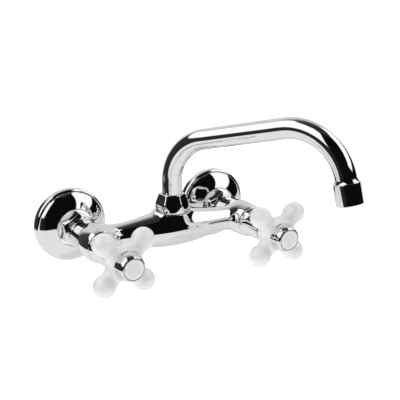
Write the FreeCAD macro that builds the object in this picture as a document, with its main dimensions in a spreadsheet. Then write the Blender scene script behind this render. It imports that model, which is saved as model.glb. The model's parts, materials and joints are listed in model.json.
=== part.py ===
"""Wall-mounted kitchen tap with two cross handles and a swivelling tube spout.

Frame: the origin lies on the wall face, midway between the two water inlets.
+X runs along the wall, +Y into the wall and +Z up; the tap stands out towards -Y.
Lengths are in millimetres and angles in degrees.

Turned pieces are drawn as a closed outline of (radius, height) corners and turned
about their own Z. On a valve that Z is the valve axis and points out of the wall, so a
height there is a distance from the wall face.
"""
import FreeCAD, Part
import enum
import math
import os
import Sketcher

DIMENSIONS = {
    # where the valves, the bridge and the spout stand
    "inlet_spacing": 150.0,
    "union_throw": 8.0,
    "bridge_depth": 61.5,
    "bridge_rise": 2.0,
    "spout_heading": 63.0,
    # clearances
    "thread_gap": 0.05,
    "running_gap": 0.05,
    "moving_gap": 0.3,
    "porcelain_gap": 0.1,
    # eccentric wall union
    "wall_thread_radius": 10.48,
    "wall_thread_length": 14.0,
    "union_root": 3.0,
    "union_knee": 9.0,
    "union_face": 20.0,
    "union_thread_radius": 13.1,
    "union_bore_radius": 7.0,
    "union_mouth_radius": 8.0,
    # escutcheon
    "rim_radius": 34.0,
    "rim_band": 4.6,
    "shoulder_radius": 31.2,
    "shoulder_depth": 7.4,
    "shoulder_crown": 0.9,
    "dome_depth": 16.4,
    "dome_crown": 0.9,
    "lip_crown": 0.25,
    "escutcheon_wall": 1.2,
    "escutcheon_collar": 4.6,
    # union nut
    "nut_flats": 29.0,
    "nut_back": 12.0,
    "nut_front": 28.4,
    "nut_chamfer": 1.1,
    "nut_chamfer_width": 2.0,
    # washer and inlet nipple
    "washer_thickness": 2.0,
    "washer_bore_radius": 8.2,
    "nipple_flange_radius": 12.0,
    "nipple_flange_thickness": 2.6,
    "nipple_radius": 9.8,
    "nipple_bore_radius": 7.0,
    "nipple_screwed_length": 8.5,
    # valve barrels of the tap body
    "barrel_back": 30.0,
    "barrel_back_radius": 11.6,
    "barrel_neck": 31.4,
    "barrel_neck_radius": 12.3,
    "barrel_swell": 0.3,
    "barrel_belly": 62.0,
    "barrel_belly_radius": 15.3,
    "barrel_shoulder": 72.0,
    "barrel_shoulder_crown": 0.4,
    "barrel_front": 78.0,
    "barrel_front_radius": 14.2,
    "passage_radius": 5.0,
    "seat_depth": 52.0,
    "chamber_radius": 10.5,
    # bridge between the barrels
    "bridge_middle_radius": 16.7,
    "bridge_middle_half": 22.0,
    "bridge_middle_crown": 1.5,
    "bridge_side_crown": 0.45,
    "bridge_waist_radius": 11.3,
    "bridge_waist_half": 51.0,
    "bridge_end_radius": 13.2,
    "bridge_end_crown": 0.6,
    "bridge_fillet": 5.0,
    "bridge_bore_radius": 8.0,
    # spout boss and its nut
    "boss_radius": 15.5,
    "boss_top": 17.4,
    "facing_margin": 0.6,
    "spigot_radius": 12.0,
    "spigot_length": 4.2,
    "socket_radius": 9.6,
    "socket_passage_radius": 7.0,
    "spout_nut_radius": 15.1,
    "spout_nut_top": 34.0,
    "spout_nut_top_flats": 20.8,
    "spout_nut_flat_foot": 23.4,
    "spout_nut_edge": 0.6,
    "spout_nut_turn": 7.0,
    "nut_hole_gap": 0.2,
    # spout tube
    "tube_radius": 9.0,
    "tube_wall": 1.0,
    "tube_bend_start": 45.2,
    "first_bend_radius": 43.4,
    "rise_angle": 13.4,
    "arm_length": 80.5,
    "second_bend_radius": 46.1,
    "second_bend_angle": 90.1,
    # ferrule at the foot of the tube
    "ferrule_foot": 8.5,
    "ferrule_flange_radius": 11.5,
    "ferrule_flange_thickness": 2.0,
    "ferrule_bore_radius": 6.2,
    "ferrule_plug_length": 6.0,
    "slip_ring_thickness": 1.8,
    "slip_ring_gap": 0.1,
    "seal_groove_depth": 1.5,
    "seal_groove_width": 2.2,
    "seal_gap": 0.02,
    "lower_seal_height": 11.6,
    "upper_seal_height": 17.0,
    # outlet
    "tube_insertion": 3.0,
    "collar_root_radius": 9.4,
    "collar_skirt_radius": 10.2,
    "collar_skirt": 2.6,
    "collar_crown": 0.15,
    "collar_spigot_radius": 9.9,
    "collar_spigot_end": 9.0,
    "nozzle_radius": 11.2,
    "nozzle_end": 20.6,
    "nozzle_edge": 0.5,
    "nozzle_lip": 2.0,
    "nozzle_mouth_radius": 9.2,
    "outlet_washer_thickness": 1.6,
    "outlet_washer_bore": 7.2,
    "aerator_wall": 1.4,
    "aerator_plate": 1.6,
    "aerator_hole_radius": 0.8,
    "aerator_inner_circle": 2.8,
    "aerator_outer_circle": 5.8,
    # ceramic headwork
    "headwork_radius": 8.8,
    "headwork_cavity_radius": 7.2,
    "headwork_nose_gap": 0.3,
    "headwork_thread_start": 70.0,
    "headwork_flange_radius": 11.9,
    "headwork_flange_thickness": 2.6,
    "headwork_gasket_thickness": 1.0,
    "headwork_neck_radius": 9.6,
    "headwork_neck_end": 94.0,
    "headwork_tip_radius": 6.4,
    "headwork_tip_end": 97.0,
    "window_width": 7.0,
    "window_height": 4.4,
    "seal_thickness": 2.5,
    "seal_bore_radius": 5.4,
    "disc_thickness": 2.5,
    "disc_gap": 0.05,
    "disc_window_inner": 2.2,
    "disc_window_outer": 5.8,
    "disc_window_angle": 76.0,
    # spindle
    "spindle_base_thickness": 2.4,
    "tongue_width": 2.4,
    "tongue_depth": 1.2,
    "tongue_reach": 6.4,
    "base_half_width": 3.2,
    "spindle_radius": 4.0,
    "spindle_seal_groove": 0.8,
    "spindle_seal_width": 1.4,
    "inner_seal_depth": 72.0,
    "outer_seal_depth": 76.0,
    "spline_root": 105.0,
    "spline_root_radius": 3.5,
    "spline_gap_share": 0.8,
    "spline_count": 20,
    "spindle_end": 117.0,
    "screw_hole_depth": 9.0,
    "clip_thickness": 0.8,
    "clip_groove": 0.6,
    "clip_radius": 5.6,
    "clip_mouth": 4.4,
    # bonnet over the headwork
    "bonnet_radius": 13.7,
    "bonnet_rim": 1.3,
    "bonnet_neck": 86.5,
    "bonnet_neck_crown": 0.45,
    "bonnet_sleeve_radius": 12.1,
    "bonnet_end": 104.6,
    "bonnet_edge": 0.8,
    "bonnet_edge_crown": 0.2,
    "bonnet_wall": 1.4,
    # porcelain handle
    "hub_back": 105.8,
    "hub_back_radius": 11.4,
    "hub_front": 127.0,
    "hub_front_radius": 12.4,
    "hub_crown": 2.0,
    "arm_land": 0.6,
    "arm_root_radius": 7.0,
    "arm_root_reach": 9.0,
    "arm_waist_crown": 0.7,
    "arm_ball_radius": 9.6,
    "arm_ball_reach": 25.3,
    "arm_ball_angle": 118.0,
    "arm_fillet": 3.5,
    # brass insert, screw, cap and index disc
    "insert_back": 106.4,
    "insert_radius": 6.0,
    "insert_cup_radius": 9.5,
    "insert_cup_floor": 120.6,
    "insert_floor_thickness": 1.6,
    "screw_radius": 2.0,
    "screw_reach": 11.0,
    "screw_head_radius": 3.9,
    "screw_head_height": 2.6,
    "screw_slot_width": 1.0,
    "screw_slot_depth": 1.2,
    "cap_step_radius": 11.4,
    "cap_step": 1.4,
    "cap_radius": 10.7,
    "cap_end": 138.9,
    "cap_edge": 1.2,
    "cap_edge_crown": 0.35,
    "cap_floor": 3.0,
    "cap_thread_radius": 8.0,
    "cap_thread_length": 5.4,
    "cap_bore_radius": 6.2,
    "index_radius": 9.3,
    "index_thickness": 1.0,
    "index_recess": 0.8,
    "index_gap": 0.1,
}


class PointOf(enum.IntEnum):
    """Which point of an edge a sketch constraint holds."""

    START = 1
    END = 2
    CENTRE = 3


class Size:
    """A length or angle with the sheet expression that keeps other sizes tied to it."""

    def __init__(self, value, text):
        self.value = float(value)
        self.text = text

    @staticmethod
    def of(item):
        return item if isinstance(item, Size) else Size(item, repr(float(item)))

    def __add__(self, other):
        other = Size.of(other)
        return Size(self.value + other.value, f"({self.text} + {other.text})")

    def __sub__(self, other):
        other = Size.of(other)
        return Size(self.value - other.value, f"({self.text} - {other.text})")

    def __mul__(self, other):
        other = Size.of(other)
        return Size(self.value * other.value, f"({self.text} * {other.text})")

    def __truediv__(self, other):
        other = Size.of(other)
        return Size(self.value / other.value, f"({self.text} / {other.text})")

    def __radd__(self, other):
        return Size.of(other) + self

    def __rsub__(self, other):
        return Size.of(other) - self

    def __rmul__(self, other):
        return Size.of(other) * self

    def __neg__(self):
        return Size(-self.value, f"(0 - {self.text})")

    def cosine(self):
        return Size(math.cos(math.radians(self.value)), f"cos({self.text} * 1 deg)")

    def sine(self):
        return Size(math.sin(math.radians(self.value)), f"sin({self.text} * 1 deg)")

    def tangent(self):
        return Size(math.tan(math.radians(self.value)), f"tan({self.text} * 1 deg)")


class Sheet:
    """The document's spreadsheet of driving dimensions, each read as a Size."""

    def __init__(self, document):
        sheet = document.addObject("Spreadsheet::Sheet", "dimensions")
        for row, (name, value) in enumerate(DIMENSIONS.items(), start=1):
            sheet.set(f"A{row}", name)
            sheet.set(f"B{row}", str(value))
            sheet.setAlias(f"B{row}", name)
        document.recompute()

    def __getattr__(self, name):
        return Size(DIMENSIONS[name], f"dimensions.{name}")


doc = FreeCAD.newDocument("wall_tap")
dim = Sheet(doc)
subparts = {}

X_AXIS = FreeCAD.Vector(1, 0, 0)
Y_AXIS = FreeCAD.Vector(0, 1, 0)
Z_AXIS = FreeCAD.Vector(0, 0, 1)
QUARTER = Size.of(90)
HALF_TURN = Size.of(180)
HALF_SIXTH = Size.of(30)
FULL_TURN = 360
HEX_SIDES = 6
ARM_COUNT = 4
DISC_WINDOWS = 2
SEAM_WIDTH = 0.05  # an edge flatter than this is a surface's own seam
AERATOR_HOLES = (6, 12)
SIDES = {"hot": -1, "cold": 1}


# ---------------------------------------------------------------- sketches and features

def plane_of(body, role):
    return next(part for part in body.Origin.OriginFeatures if part.Role == role)


def vector_text(x, y, z):
    return "vector({}; {}; {})".format(*(Size.of(item).text for item in (x, y, z)))


def placement_text(base, axis=Z_AXIS, angle=0):
    """An expression for a placement: a base point and one turn about an axis."""
    turn = f"rotation({vector_text(*axis)}; {Size.of(angle).text})"
    return f"placement({vector_text(*base)}; {turn})"


def place(obj, *steps):
    """Bind an object's placement to a chain of (base, axis, angle) steps."""
    obj.setExpression("Placement", " * ".join(placement_text(*step) for step in steps))


def new_body(label):
    return doc.addObject("PartDesign::Body", label)


def new_sketch(body, role, offset=None):
    """A sketch flat on one of the body's origin planes, moved by an offset placement."""
    sketch = body.newObject("Sketcher::SketchObject", body.Name + "_sketch")
    sketch.AttachmentSupport = [(plane_of(body, role), "")]
    sketch.MapMode = "FlatFace"
    if offset:
        sketch.setExpression("AttachmentOffset", placement_text(*offset))
    return sketch


def bind(sketch, kind, *arguments, size):
    index = sketch.addConstraint(Sketcher.Constraint(kind, *arguments, size.value))
    sketch.setExpression(f"Constraints[{index}]", size.text)


def fix_corner(sketch, edge, end, x, y):
    """Tie one end of an edge to its place, measured from the sketch's origin."""
    origin, x_line, y_line = (-1, 1), -1, -2
    for size, kind, line in ((x, "DistanceX", y_line), (y, "DistanceY", x_line)):
        if size.value == 0 and size.text == repr(0.0):
            sketch.addConstraint(Sketcher.Constraint("PointOnObject", edge, end, line))
        else:
            bind(sketch, kind, *origin, edge, end, size=size)


def arc_radius(start, end, crown):
    """Radius of the arc that rises by crown over the chord between two corners."""
    across, along = end[0] - start[0], end[1] - start[1]
    return (across * across + along * along) / (8 * crown) + crown / 2


def outline_edge(start, end, crown):
    """A straight edge, or an arc bowed by crown to the right of the way it runs."""
    first = FreeCAD.Vector(start[0].value, start[1].value, 0)
    last = FreeCAD.Vector(end[0].value, end[1].value, 0)
    if crown is None:
        return Part.LineSegment(first, last)
    chord = last - first
    outwards = FreeCAD.Vector(chord.y, -chord.x, 0).normalize()
    return Part.Arc(first, (first + last) / 2 + outwards * crown.value, last)


def draw_outline(sketch, outline, closed=True):
    """Draw corners given as (x, y) or (x, y, crown), where crown bows the edge after it."""
    corners = [(Size.of(item[0]), Size.of(item[1])) for item in outline]
    crowns = [item[2] if len(item) == 3 else None for item in outline]
    count = len(corners) if closed else len(corners) - 1
    ends = []
    for index in range(count):
        start, end = corners[index], corners[(index + 1) % len(corners)]
        crown = crowns[index]
        sketch.addGeometry(outline_edge(start, end, crown), False)
        clockwise = crown is not None and crown.value < 0
        ends.append((2, 1) if clockwise else (1, 2))
        if crown is not None:
            bowed = arc_radius(start, end, crown)
            bind(sketch, "Radius", index, size=-bowed if clockwise else bowed)
    for index in range(count):
        after = (index + 1) % count
        if closed or index + 1 < count:
            joint = (index, ends[index][1], after, ends[after][0])
            sketch.addConstraint(Sketcher.Constraint("Coincident", *joint))
        fix_corner(sketch, index, ends[index][0], *corners[index])
    if not closed:
        fix_corner(sketch, count - 1, ends[-1][1], *corners[-1])


def revolve(body, sketch, kind, axis):
    feature = body.newObject(kind, body.Name + "_turn")
    feature.Profile = sketch
    feature.ReferenceAxis = (sketch, [axis])
    feature.Angle = FULL_TURN
    return feature


def turn_outline(body, outline, kind="PartDesign::Revolution", offset=None,
                 role="XZ_Plane", axis="V_Axis"):
    """Add or cut a solid of revolution made from an outline."""
    sketch = new_sketch(body, role, offset)
    draw_outline(sketch, outline)
    return revolve(body, sketch, kind, axis)


def cut_outline(body, outline, **options):
    return turn_outline(body, outline, kind="PartDesign::Groove", **options)


def turned(label, outline):
    """A body made in one turning."""
    body = new_body(label)
    turn_outline(body, outline)
    return body


def rod(radius, low, high):
    """Outline of a solid rod between two heights."""
    return [(0, low), (radius, low), (radius, high), (0, high)]


def ring(inner, outer, low, high):
    """Outline of a plain ring."""
    return [(inner, low), (outer, low), (outer, high), (inner, high)]


def draw_circle(sketch, radius, x, y):
    x, y = Size.of(x), Size.of(y)
    circle = Part.Circle(FreeCAD.Vector(x.value, y.value, 0), Z_AXIS, radius.value)
    index = sketch.addGeometry(circle, False)
    fix_corner(sketch, index, PointOf.CENTRE, x, y)
    bind(sketch, "Radius", index, size=radius)


def pocket_across(body, sketch):
    """Cut a sketch's outline right through the body, both ways from its plane."""
    pocket = body.newObject("PartDesign::Pocket", body.Name + "_pocket")
    pocket.Profile = sketch
    pocket.Type = "ThroughAll"
    pocket.Midplane = True
    return pocket


def pocket_down(body, sketch, depth):
    """Cut a sketch's outline downwards from its plane to a depth."""
    pocket = body.newObject("PartDesign::Pocket", body.Name + "_pocket")
    pocket.Profile = sketch
    pocket.setExpression("Length", depth.text)
    return pocket


def repeat_round(body, feature, count):
    """Repeat a feature about the body's Z axis."""
    pattern = body.newObject("PartDesign::PolarPattern", body.Name + "_pattern")
    pattern.Originals = [feature]
    pattern.Axis = (plane_of(body, "Z_Axis"), [""])
    pattern.Angle = FULL_TURN
    pattern.Occurrences = count
    body.Tip = pattern
    return pattern


def fillet_edges(body, radius, chosen):
    """Round the edges of the solid so far for which chosen(edge) is true."""
    doc.recompute()
    base = body.Tip
    names = [f"Edge{number}" for number, edge in enumerate(base.Shape.Edges, start=1)
             if chosen(edge)]
    fillet = body.newObject("PartDesign::Fillet", body.Name + "_fillet")
    fillet.Base = (base, names)
    fillet.setExpression("Radius", radius.text)
    return fillet


def keep(label, obj, *steps):
    """Register a finished sub-part under its node name and bind its placement."""
    obj.Label = label
    place(obj, *steps)
    subparts[label] = obj
    return obj


# ---------------------------------------------------------------- shared sizes

half_spacing = dim.inlet_spacing / 2
nut_corner_radius = dim.nut_flats / (2 * HALF_SIXTH.cosine())
washer_face = dim.union_face + dim.washer_thickness
nipple_face = washer_face + dim.nipple_flange_thickness
nipple_socket_end = dim.barrel_back + dim.nipple_screwed_length + dim.moving_gap
bridge_height = dim.union_throw + dim.bridge_rise
boss_face = dim.union_throw + dim.boss_top
spigot_face = boss_face + dim.spigot_length
flange_seat = dim.boss_top + dim.spigot_length + dim.moving_gap
tube_foot = flange_seat + dim.ferrule_flange_thickness
slip_ring_foot = tube_foot + dim.moving_gap
slip_ring_top = slip_ring_foot + dim.slip_ring_thickness
ferrule_radius = dim.socket_radius - dim.running_gap
tube_bore_radius = dim.tube_radius - dim.tube_wall
nozzle_bore_radius = dim.collar_spigot_radius + dim.thread_gap
insert_back = dim.collar_spigot_end + dim.outlet_washer_thickness
gasket_face = dim.barrel_front + dim.headwork_gasket_thickness
flange_face = gasket_face + dim.headwork_flange_thickness
seal_face = dim.seat_depth + dim.seal_thickness
fixed_disc_face = seal_face + dim.disc_thickness
moving_disc_back = fixed_disc_face + dim.disc_gap
moving_disc_face = moving_disc_back + dim.disc_thickness
spindle_base_back = moving_disc_face + dim.disc_gap
spindle_base_face = spindle_base_back + dim.spindle_base_thickness
disc_radius = dim.headwork_cavity_radius - dim.running_gap
spindle_bore_radius = dim.spindle_radius + dim.running_gap
clip_back = dim.headwork_tip_end + dim.moving_gap
clip_groove_radius = dim.spindle_radius - dim.clip_groove
cup_back = dim.insert_cup_floor - dim.insert_floor_thickness


def valve_place(side, turn=0):
    """From a valve's own frame, Z out of the wall, to the row frame."""
    return (((side * half_spacing, 0, dim.union_throw), X_AXIS, QUARTER),
            ((0, 0, 0), Z_AXIS, turn))


def spout_place():
    """From the spout's own frame, X along its arm and Z up, to the row frame."""
    return ((0, -dim.bridge_depth, dim.union_throw), Z_AXIS, -dim.spout_heading)


# ---------------------------------------------------------------- wall connection

def circle_section(body, radius, height, across):
    """A circle sketch at a height, set off along the body's Y."""
    sketch = new_sketch(body, "XY_Plane", ((0, across, height),))
    draw_circle(sketch, radius, 0, 0)
    return sketch


def skewed_passage(body, kind, low, high):
    """A loft between two circles given as (radius, height, offset across)."""
    loft = body.newObject(kind, body.Name + "_skew")
    loft.Profile = circle_section(body, *low)
    loft.Sections = [circle_section(body, *high)]
    loft.Ruled = True


def wall_union(label, side):
    """Eccentric union: wall thread on the inlet axis, tap thread one throw above it."""
    body = new_body(label)
    inlet_axis = ((0, 0, dim.union_throw),)
    shapes = (
        (turn_outline, "PartDesign::AdditiveLoft",
         dim.wall_thread_radius, dim.union_thread_radius),
        (cut_outline, "PartDesign::SubtractiveLoft",
         dim.union_bore_radius, dim.union_mouth_radius),
    )
    for turn, loft, inlet_radius, tap_radius in shapes:
        turn(body, rod(inlet_radius, -dim.wall_thread_length, dim.union_root),
             offset=inlet_axis)
        skewed_passage(body, loft, (inlet_radius, dim.union_root, -dim.union_throw),
                       (tap_radius, dim.union_knee, 0))
        turn(body, rod(tap_radius, dim.union_knee, dim.union_face))
    keep(label, body, *valve_place(side))


def escutcheon(label, side):
    """Pressed cover: upright band, rounded shoulder, dome and a collar round the nut."""
    bore = nut_corner_radius + dim.moving_gap
    mouth = bore + dim.escutcheon_wall
    collar_foot = dim.dome_depth - dim.escutcheon_collar
    inner_dome = dim.dome_depth - dim.escutcheon_wall
    body = turned(label, [
        (dim.rim_radius - dim.escutcheon_wall, 0),
        (dim.rim_radius, 0),
        (dim.rim_radius, dim.rim_band, dim.shoulder_crown),
        (dim.shoulder_radius, dim.shoulder_depth, dim.dome_crown),
        (mouth, dim.dome_depth, dim.lip_crown),
        (bore, dim.dome_depth),
        (bore, collar_foot),
        (mouth, collar_foot),
        (mouth, inner_dome, -dim.dome_crown),
        (dim.shoulder_radius - dim.escutcheon_wall, dim.shoulder_depth - dim.escutcheon_wall),
        (dim.rim_radius - dim.escutcheon_wall, dim.rim_band - dim.escutcheon_wall),
    ])
    keep(label, body, *valve_place(side))


def union_washer(label, side):
    body = turned(label, ring(dim.washer_bore_radius, dim.nipple_flange_radius,
                              dim.union_face, washer_face))
    keep(label, body, *valve_place(side))


def union_nut(label, side):
    """Hexagon nut that draws the nipple's flange onto the union."""
    body = new_body(label)
    blank = body.newObject("PartDesign::AdditivePrism", label + "_blank")
    blank.AttachmentSupport = [(plane_of(body, "XY_Plane"), "")]
    blank.MapMode = "FlatFace"
    blank.Polygon = HEX_SIDES
    blank.setExpression("AttachmentOffset", placement_text((0, 0, dim.nut_back)))
    blank.setExpression("Circumradius", nut_corner_radius.text)
    blank.setExpression("Height", (dim.nut_front - dim.nut_back).text)
    chamfer_radius = nut_corner_radius - dim.nut_chamfer_width
    outside = nut_corner_radius + dim.nut_chamfer_width
    for end, inwards in ((dim.nut_back, dim.nut_chamfer), (dim.nut_front, -dim.nut_chamfer)):
        cut_outline(body, [(chamfer_radius, end), (outside, end),
                           (outside, end + 2 * inwards)])
    shoulder = nipple_face + dim.thread_gap
    cut_outline(body, [
        (0, dim.nut_back),
        (dim.union_thread_radius + dim.thread_gap, dim.nut_back),
        (dim.union_thread_radius + dim.thread_gap, shoulder),
        (dim.nipple_radius + dim.moving_gap, shoulder),
        (dim.nipple_radius + dim.moving_gap, dim.nut_front),
        (0, dim.nut_front),
    ])
    keep(label, body, *valve_place(side))


def inlet_nipple(label, side):
    """Flanged tube screwed into the back of the tap body."""
    end = dim.barrel_back + dim.nipple_screwed_length
    body = turned(label, [
        (dim.nipple_bore_radius, washer_face),
        (dim.nipple_flange_radius, washer_face),
        (dim.nipple_flange_radius, nipple_face),
        (dim.nipple_radius, nipple_face),
        (dim.nipple_radius, end),
        (dim.nipple_bore_radius, end),
    ])
    keep(label, body, *valve_place(side))


# ---------------------------------------------------------------- tap body

def add_bridge(body):
    """The spindle-shaped bridge, turned about an axis along X."""
    shoulder = dim.bridge_middle_radius - dim.bridge_middle_crown
    right_half = [
        (half_spacing, dim.bridge_end_radius, -dim.bridge_end_crown),
        (dim.bridge_waist_half, dim.bridge_waist_radius, -dim.bridge_side_crown),
        (dim.bridge_middle_half, shoulder, dim.bridge_middle_crown),
    ]
    left_half = [
        (-dim.bridge_middle_half, shoulder, -dim.bridge_side_crown),
        (-dim.bridge_waist_half, dim.bridge_waist_radius, -dim.bridge_end_crown),
        (-half_spacing, dim.bridge_end_radius),
    ]
    ends = [(-half_spacing, 0), (half_spacing, 0)]
    turn_outline(body, ends + right_half + left_half, role="XY_Plane", axis="H_Axis",
                 offset=((0, -dim.bridge_depth, bridge_height),))


def barrel_axis(side):
    """Sketch offset that stands an outline on a valve axis, facing out of the wall."""
    return ((side * half_spacing, 0, dim.union_throw), Z_AXIS, HALF_TURN)


def add_barrel(body, side):
    """Flared valve barrel, narrow at the nipple and widest at the bridge."""
    turn_outline(body, [
        (0, dim.barrel_back),
        (dim.barrel_back_radius, dim.barrel_back),
        (dim.barrel_neck_radius, dim.barrel_neck, dim.barrel_swell),
        (dim.barrel_belly_radius, dim.barrel_belly),
        (dim.barrel_belly_radius, dim.barrel_shoulder, dim.barrel_shoulder_crown),
        (dim.barrel_front_radius, dim.barrel_front),
        (0, dim.barrel_front),
    ], role="XY_Plane", offset=barrel_axis(side))


def bore_barrel(body, side):
    """Nipple socket, water passage and the chamber that takes the headwork."""
    cut_outline(body, [
        (0, dim.barrel_back),
        (dim.nipple_radius + dim.thread_gap, dim.barrel_back),
        (dim.nipple_radius + dim.thread_gap, nipple_socket_end),
        (dim.passage_radius, nipple_socket_end),
        (dim.passage_radius, dim.seat_depth),
        (dim.chamber_radius, dim.seat_depth),
        (dim.chamber_radius, dim.barrel_front),
        (0, dim.barrel_front),
    ], role="XY_Plane", offset=barrel_axis(side))


def add_boss(body):
    """Round boss under the spout with its flat face and threaded spigot."""
    spout_axis = ((0, 0, dim.bridge_depth),)
    turn_outline(body, [
        (0, bridge_height),
        (dim.boss_radius, bridge_height),
        (dim.boss_radius, boss_face),
        (dim.spigot_radius, boss_face),
        (dim.spigot_radius, spigot_face),
        (0, spigot_face),
    ], offset=spout_axis)
    facing_radius = dim.boss_radius + dim.facing_margin
    cut_outline(body, ring(dim.spigot_radius, facing_radius, boss_face, spigot_face),
                offset=spout_axis)


def bore_bridge(body):
    """The mixed-water bore between the chambers and the spout's socket over it."""
    cut_outline(body, [
        (-half_spacing, 0),
        (half_spacing, 0),
        (half_spacing, dim.bridge_bore_radius),
        (-half_spacing, dim.bridge_bore_radius),
    ], role="XY_Plane", axis="H_Axis", offset=((0, -dim.bridge_depth, bridge_height),))
    socket_floor = dim.union_throw + dim.ferrule_foot - dim.moving_gap
    cut_outline(body, [
        (0, bridge_height),
        (dim.socket_passage_radius, bridge_height),
        (dim.socket_passage_radius, socket_floor),
        (dim.socket_radius, socket_floor),
        (dim.socket_radius, spigot_face),
        (0, spigot_face),
    ], offset=((0, 0, dim.bridge_depth),))


def tap_body(label):
    """One casting: two barrels, the bridge between them and the spout boss."""
    body = new_body(label)
    add_bridge(body)
    for side in SIDES.values():
        add_barrel(body, side)
    fillet_edges(body, dim.bridge_fillet, is_bridge_end)
    add_boss(body)
    for side in SIDES.values():
        bore_barrel(body, side)
    bore_bridge(body)
    keep(label, body, ((0, 0, 0),))


def is_bridge_end(edge):
    """True for an edge where the bridge runs into the side of a barrel."""
    box = edge.BoundBox
    inner, outer = sorted((abs(box.XMin), abs(box.XMax)))
    beside_barrel = dim.bridge_waist_half.value + SEAM_WIDTH < inner and outer < half_spacing.value
    return beside_barrel and min(box.YLength, box.ZLength) > SEAM_WIDTH


# ---------------------------------------------------------------- spout fixing

def spout_nut(label):
    """Round nut with six leaning flats that narrow it to the spout tube."""
    foot = dim.boss_top + dim.moving_gap
    bore = dim.spigot_radius + dim.thread_gap
    hole = dim.tube_radius + dim.nut_hole_gap
    body = turned(label, [
        (bore, foot),
        (dim.spout_nut_radius - dim.spout_nut_edge, foot),
        (dim.spout_nut_radius, foot + dim.spout_nut_edge),
        (dim.spout_nut_radius, dim.spout_nut_top),
        (hole, dim.spout_nut_top),
        (hole, slip_ring_top),
        (bore, slip_ring_top),
    ])
    flats = new_sketch(body, "XZ_Plane")
    outside = 2 * dim.spout_nut_radius
    draw_outline(flats, [
        (dim.spout_nut_radius, dim.spout_nut_flat_foot),
        (outside, dim.spout_nut_flat_foot),
        (outside, dim.spout_nut_top),
        (dim.spout_nut_top_flats / 2, dim.spout_nut_top),
    ])
    repeat_round(body, pocket_across(body, flats), HEX_SIDES)
    keep(label, body, ((0, -dim.bridge_depth, dim.union_throw), Z_AXIS, dim.spout_nut_turn))


def spout_slip_ring(label):
    body = turned(label, ring(dim.tube_radius + dim.slip_ring_gap,
                              dim.spigot_radius - dim.slip_ring_gap,
                              slip_ring_foot, slip_ring_top))
    keep(label, body, spout_place())


def spout_ferrule(label):
    """Turning foot of the spout, with a flange under the nut and two seal grooves."""
    floor = ferrule_radius - dim.seal_groove_depth
    body = turned(label, [
        (dim.ferrule_bore_radius, dim.ferrule_foot),
        (ferrule_radius, dim.ferrule_foot),
        (ferrule_radius, flange_seat),
        (dim.ferrule_flange_radius, flange_seat),
        (dim.ferrule_flange_radius, tube_foot),
        (tube_bore_radius - dim.thread_gap, tube_foot),
        (tube_bore_radius - dim.thread_gap, tube_foot + dim.ferrule_plug_length),
        (dim.ferrule_bore_radius, tube_foot + dim.ferrule_plug_length),
    ])
    for height in (dim.lower_seal_height, dim.upper_seal_height):
        cut_outline(body, groove_ring(floor, ferrule_radius, height, dim.seal_groove_width))
    keep(label, body, spout_place())


def groove_ring(floor, surface, height, width):
    """Outline of a square groove, a little past the surface that it is cut in."""
    return ring(floor, surface + dim.moving_gap, height - width / 2, height + width / 2)


def seal_ring(label, floor, bore, height, *steps):
    """Rubber ring that fills the way from a groove's floor to the bore round it."""
    body = new_body(label)
    sketch = new_sketch(body, "XZ_Plane")
    wire_radius = (bore - floor - 2 * dim.seal_gap) / 2
    draw_circle(sketch, wire_radius, (bore + floor) / 2, height)
    revolve(body, sketch, "PartDesign::Revolution", "V_Axis")
    keep(label, body, *steps)


# ---------------------------------------------------------------- spout tube and outlet

def tube_route():
    """Corners of the tube's centre line, in the plane of the spout."""
    rise = dim.rise_angle
    first_turn = QUARTER - rise
    last_angle = rise - dim.second_bend_angle
    first_centre = dim.tube_bend_start
    first_x = dim.first_bend_radius * (1 - first_turn.cosine())
    first_z = first_centre + dim.first_bend_radius * first_turn.sine()
    crest_x = first_x + dim.arm_length * rise.cosine()
    crest_z = first_z + dim.arm_length * rise.sine()
    drop_x = crest_x + dim.second_bend_radius * (rise.sine() - last_angle.sine())
    drop_z = crest_z - dim.second_bend_radius * (rise.cosine() - last_angle.cosine())
    first_crown = dim.first_bend_radius * (1 - (first_turn / 2).cosine())
    second_crown = dim.second_bend_radius * (1 - (dim.second_bend_angle / 2).cosine())
    return [
        (0, tube_foot),
        (0, dim.tube_bend_start, -first_crown),
        (first_x, first_z),
        (crest_x, crest_z, -second_crown),
        (drop_x, drop_z),
        (drop_x + dim.tube_insertion * last_angle.cosine(),
         drop_z + dim.tube_insertion * last_angle.sine()),
    ]


def spout_tube(label):
    """Bent tube: up from the nut, over in a long rising arm and down to the outlet."""
    body = new_body(label)
    route = new_sketch(body, "XZ_Plane")
    draw_outline(route, tube_route(), closed=False)
    section = new_sketch(body, "XY_Plane", ((0, 0, tube_foot),))
    draw_circle(section, dim.tube_radius, 0, 0)
    draw_circle(section, tube_bore_radius, 0, 0)
    tube = body.newObject("PartDesign::AdditivePipe", label + "_pipe")
    tube.Profile = section
    tube.Spine = (route, [f"Edge{number}" for number in range(1, route.GeometryCount + 1)])
    keep(label, body, spout_place())


def outlet_place():
    """From the outlet's own frame, Z along the falling water, to the row frame."""
    reach, height = tube_route()[-2]
    angle = dim.rise_angle - dim.second_bend_angle
    return spout_place(), ((reach, 0, height), Y_AXIS, QUARTER - angle)


def nozzle_collar(label):
    """Collar brazed over the tube's end, with a skirt and the outlet's thread."""
    sleeve = dim.tube_radius + dim.thread_gap
    body = turned(label, [
        (sleeve, 0),
        (dim.collar_root_radius, 0, -dim.collar_crown),
        (dim.collar_skirt_radius, dim.collar_skirt),
        (dim.collar_spigot_radius, dim.collar_skirt),
        (dim.collar_spigot_radius, dim.collar_spigot_end),
        (tube_bore_radius, dim.collar_spigot_end),
        (tube_bore_radius, dim.tube_insertion + dim.thread_gap),
        (sleeve, dim.tube_insertion + dim.thread_gap),
    ])
    keep(label, body, *outlet_place())


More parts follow.
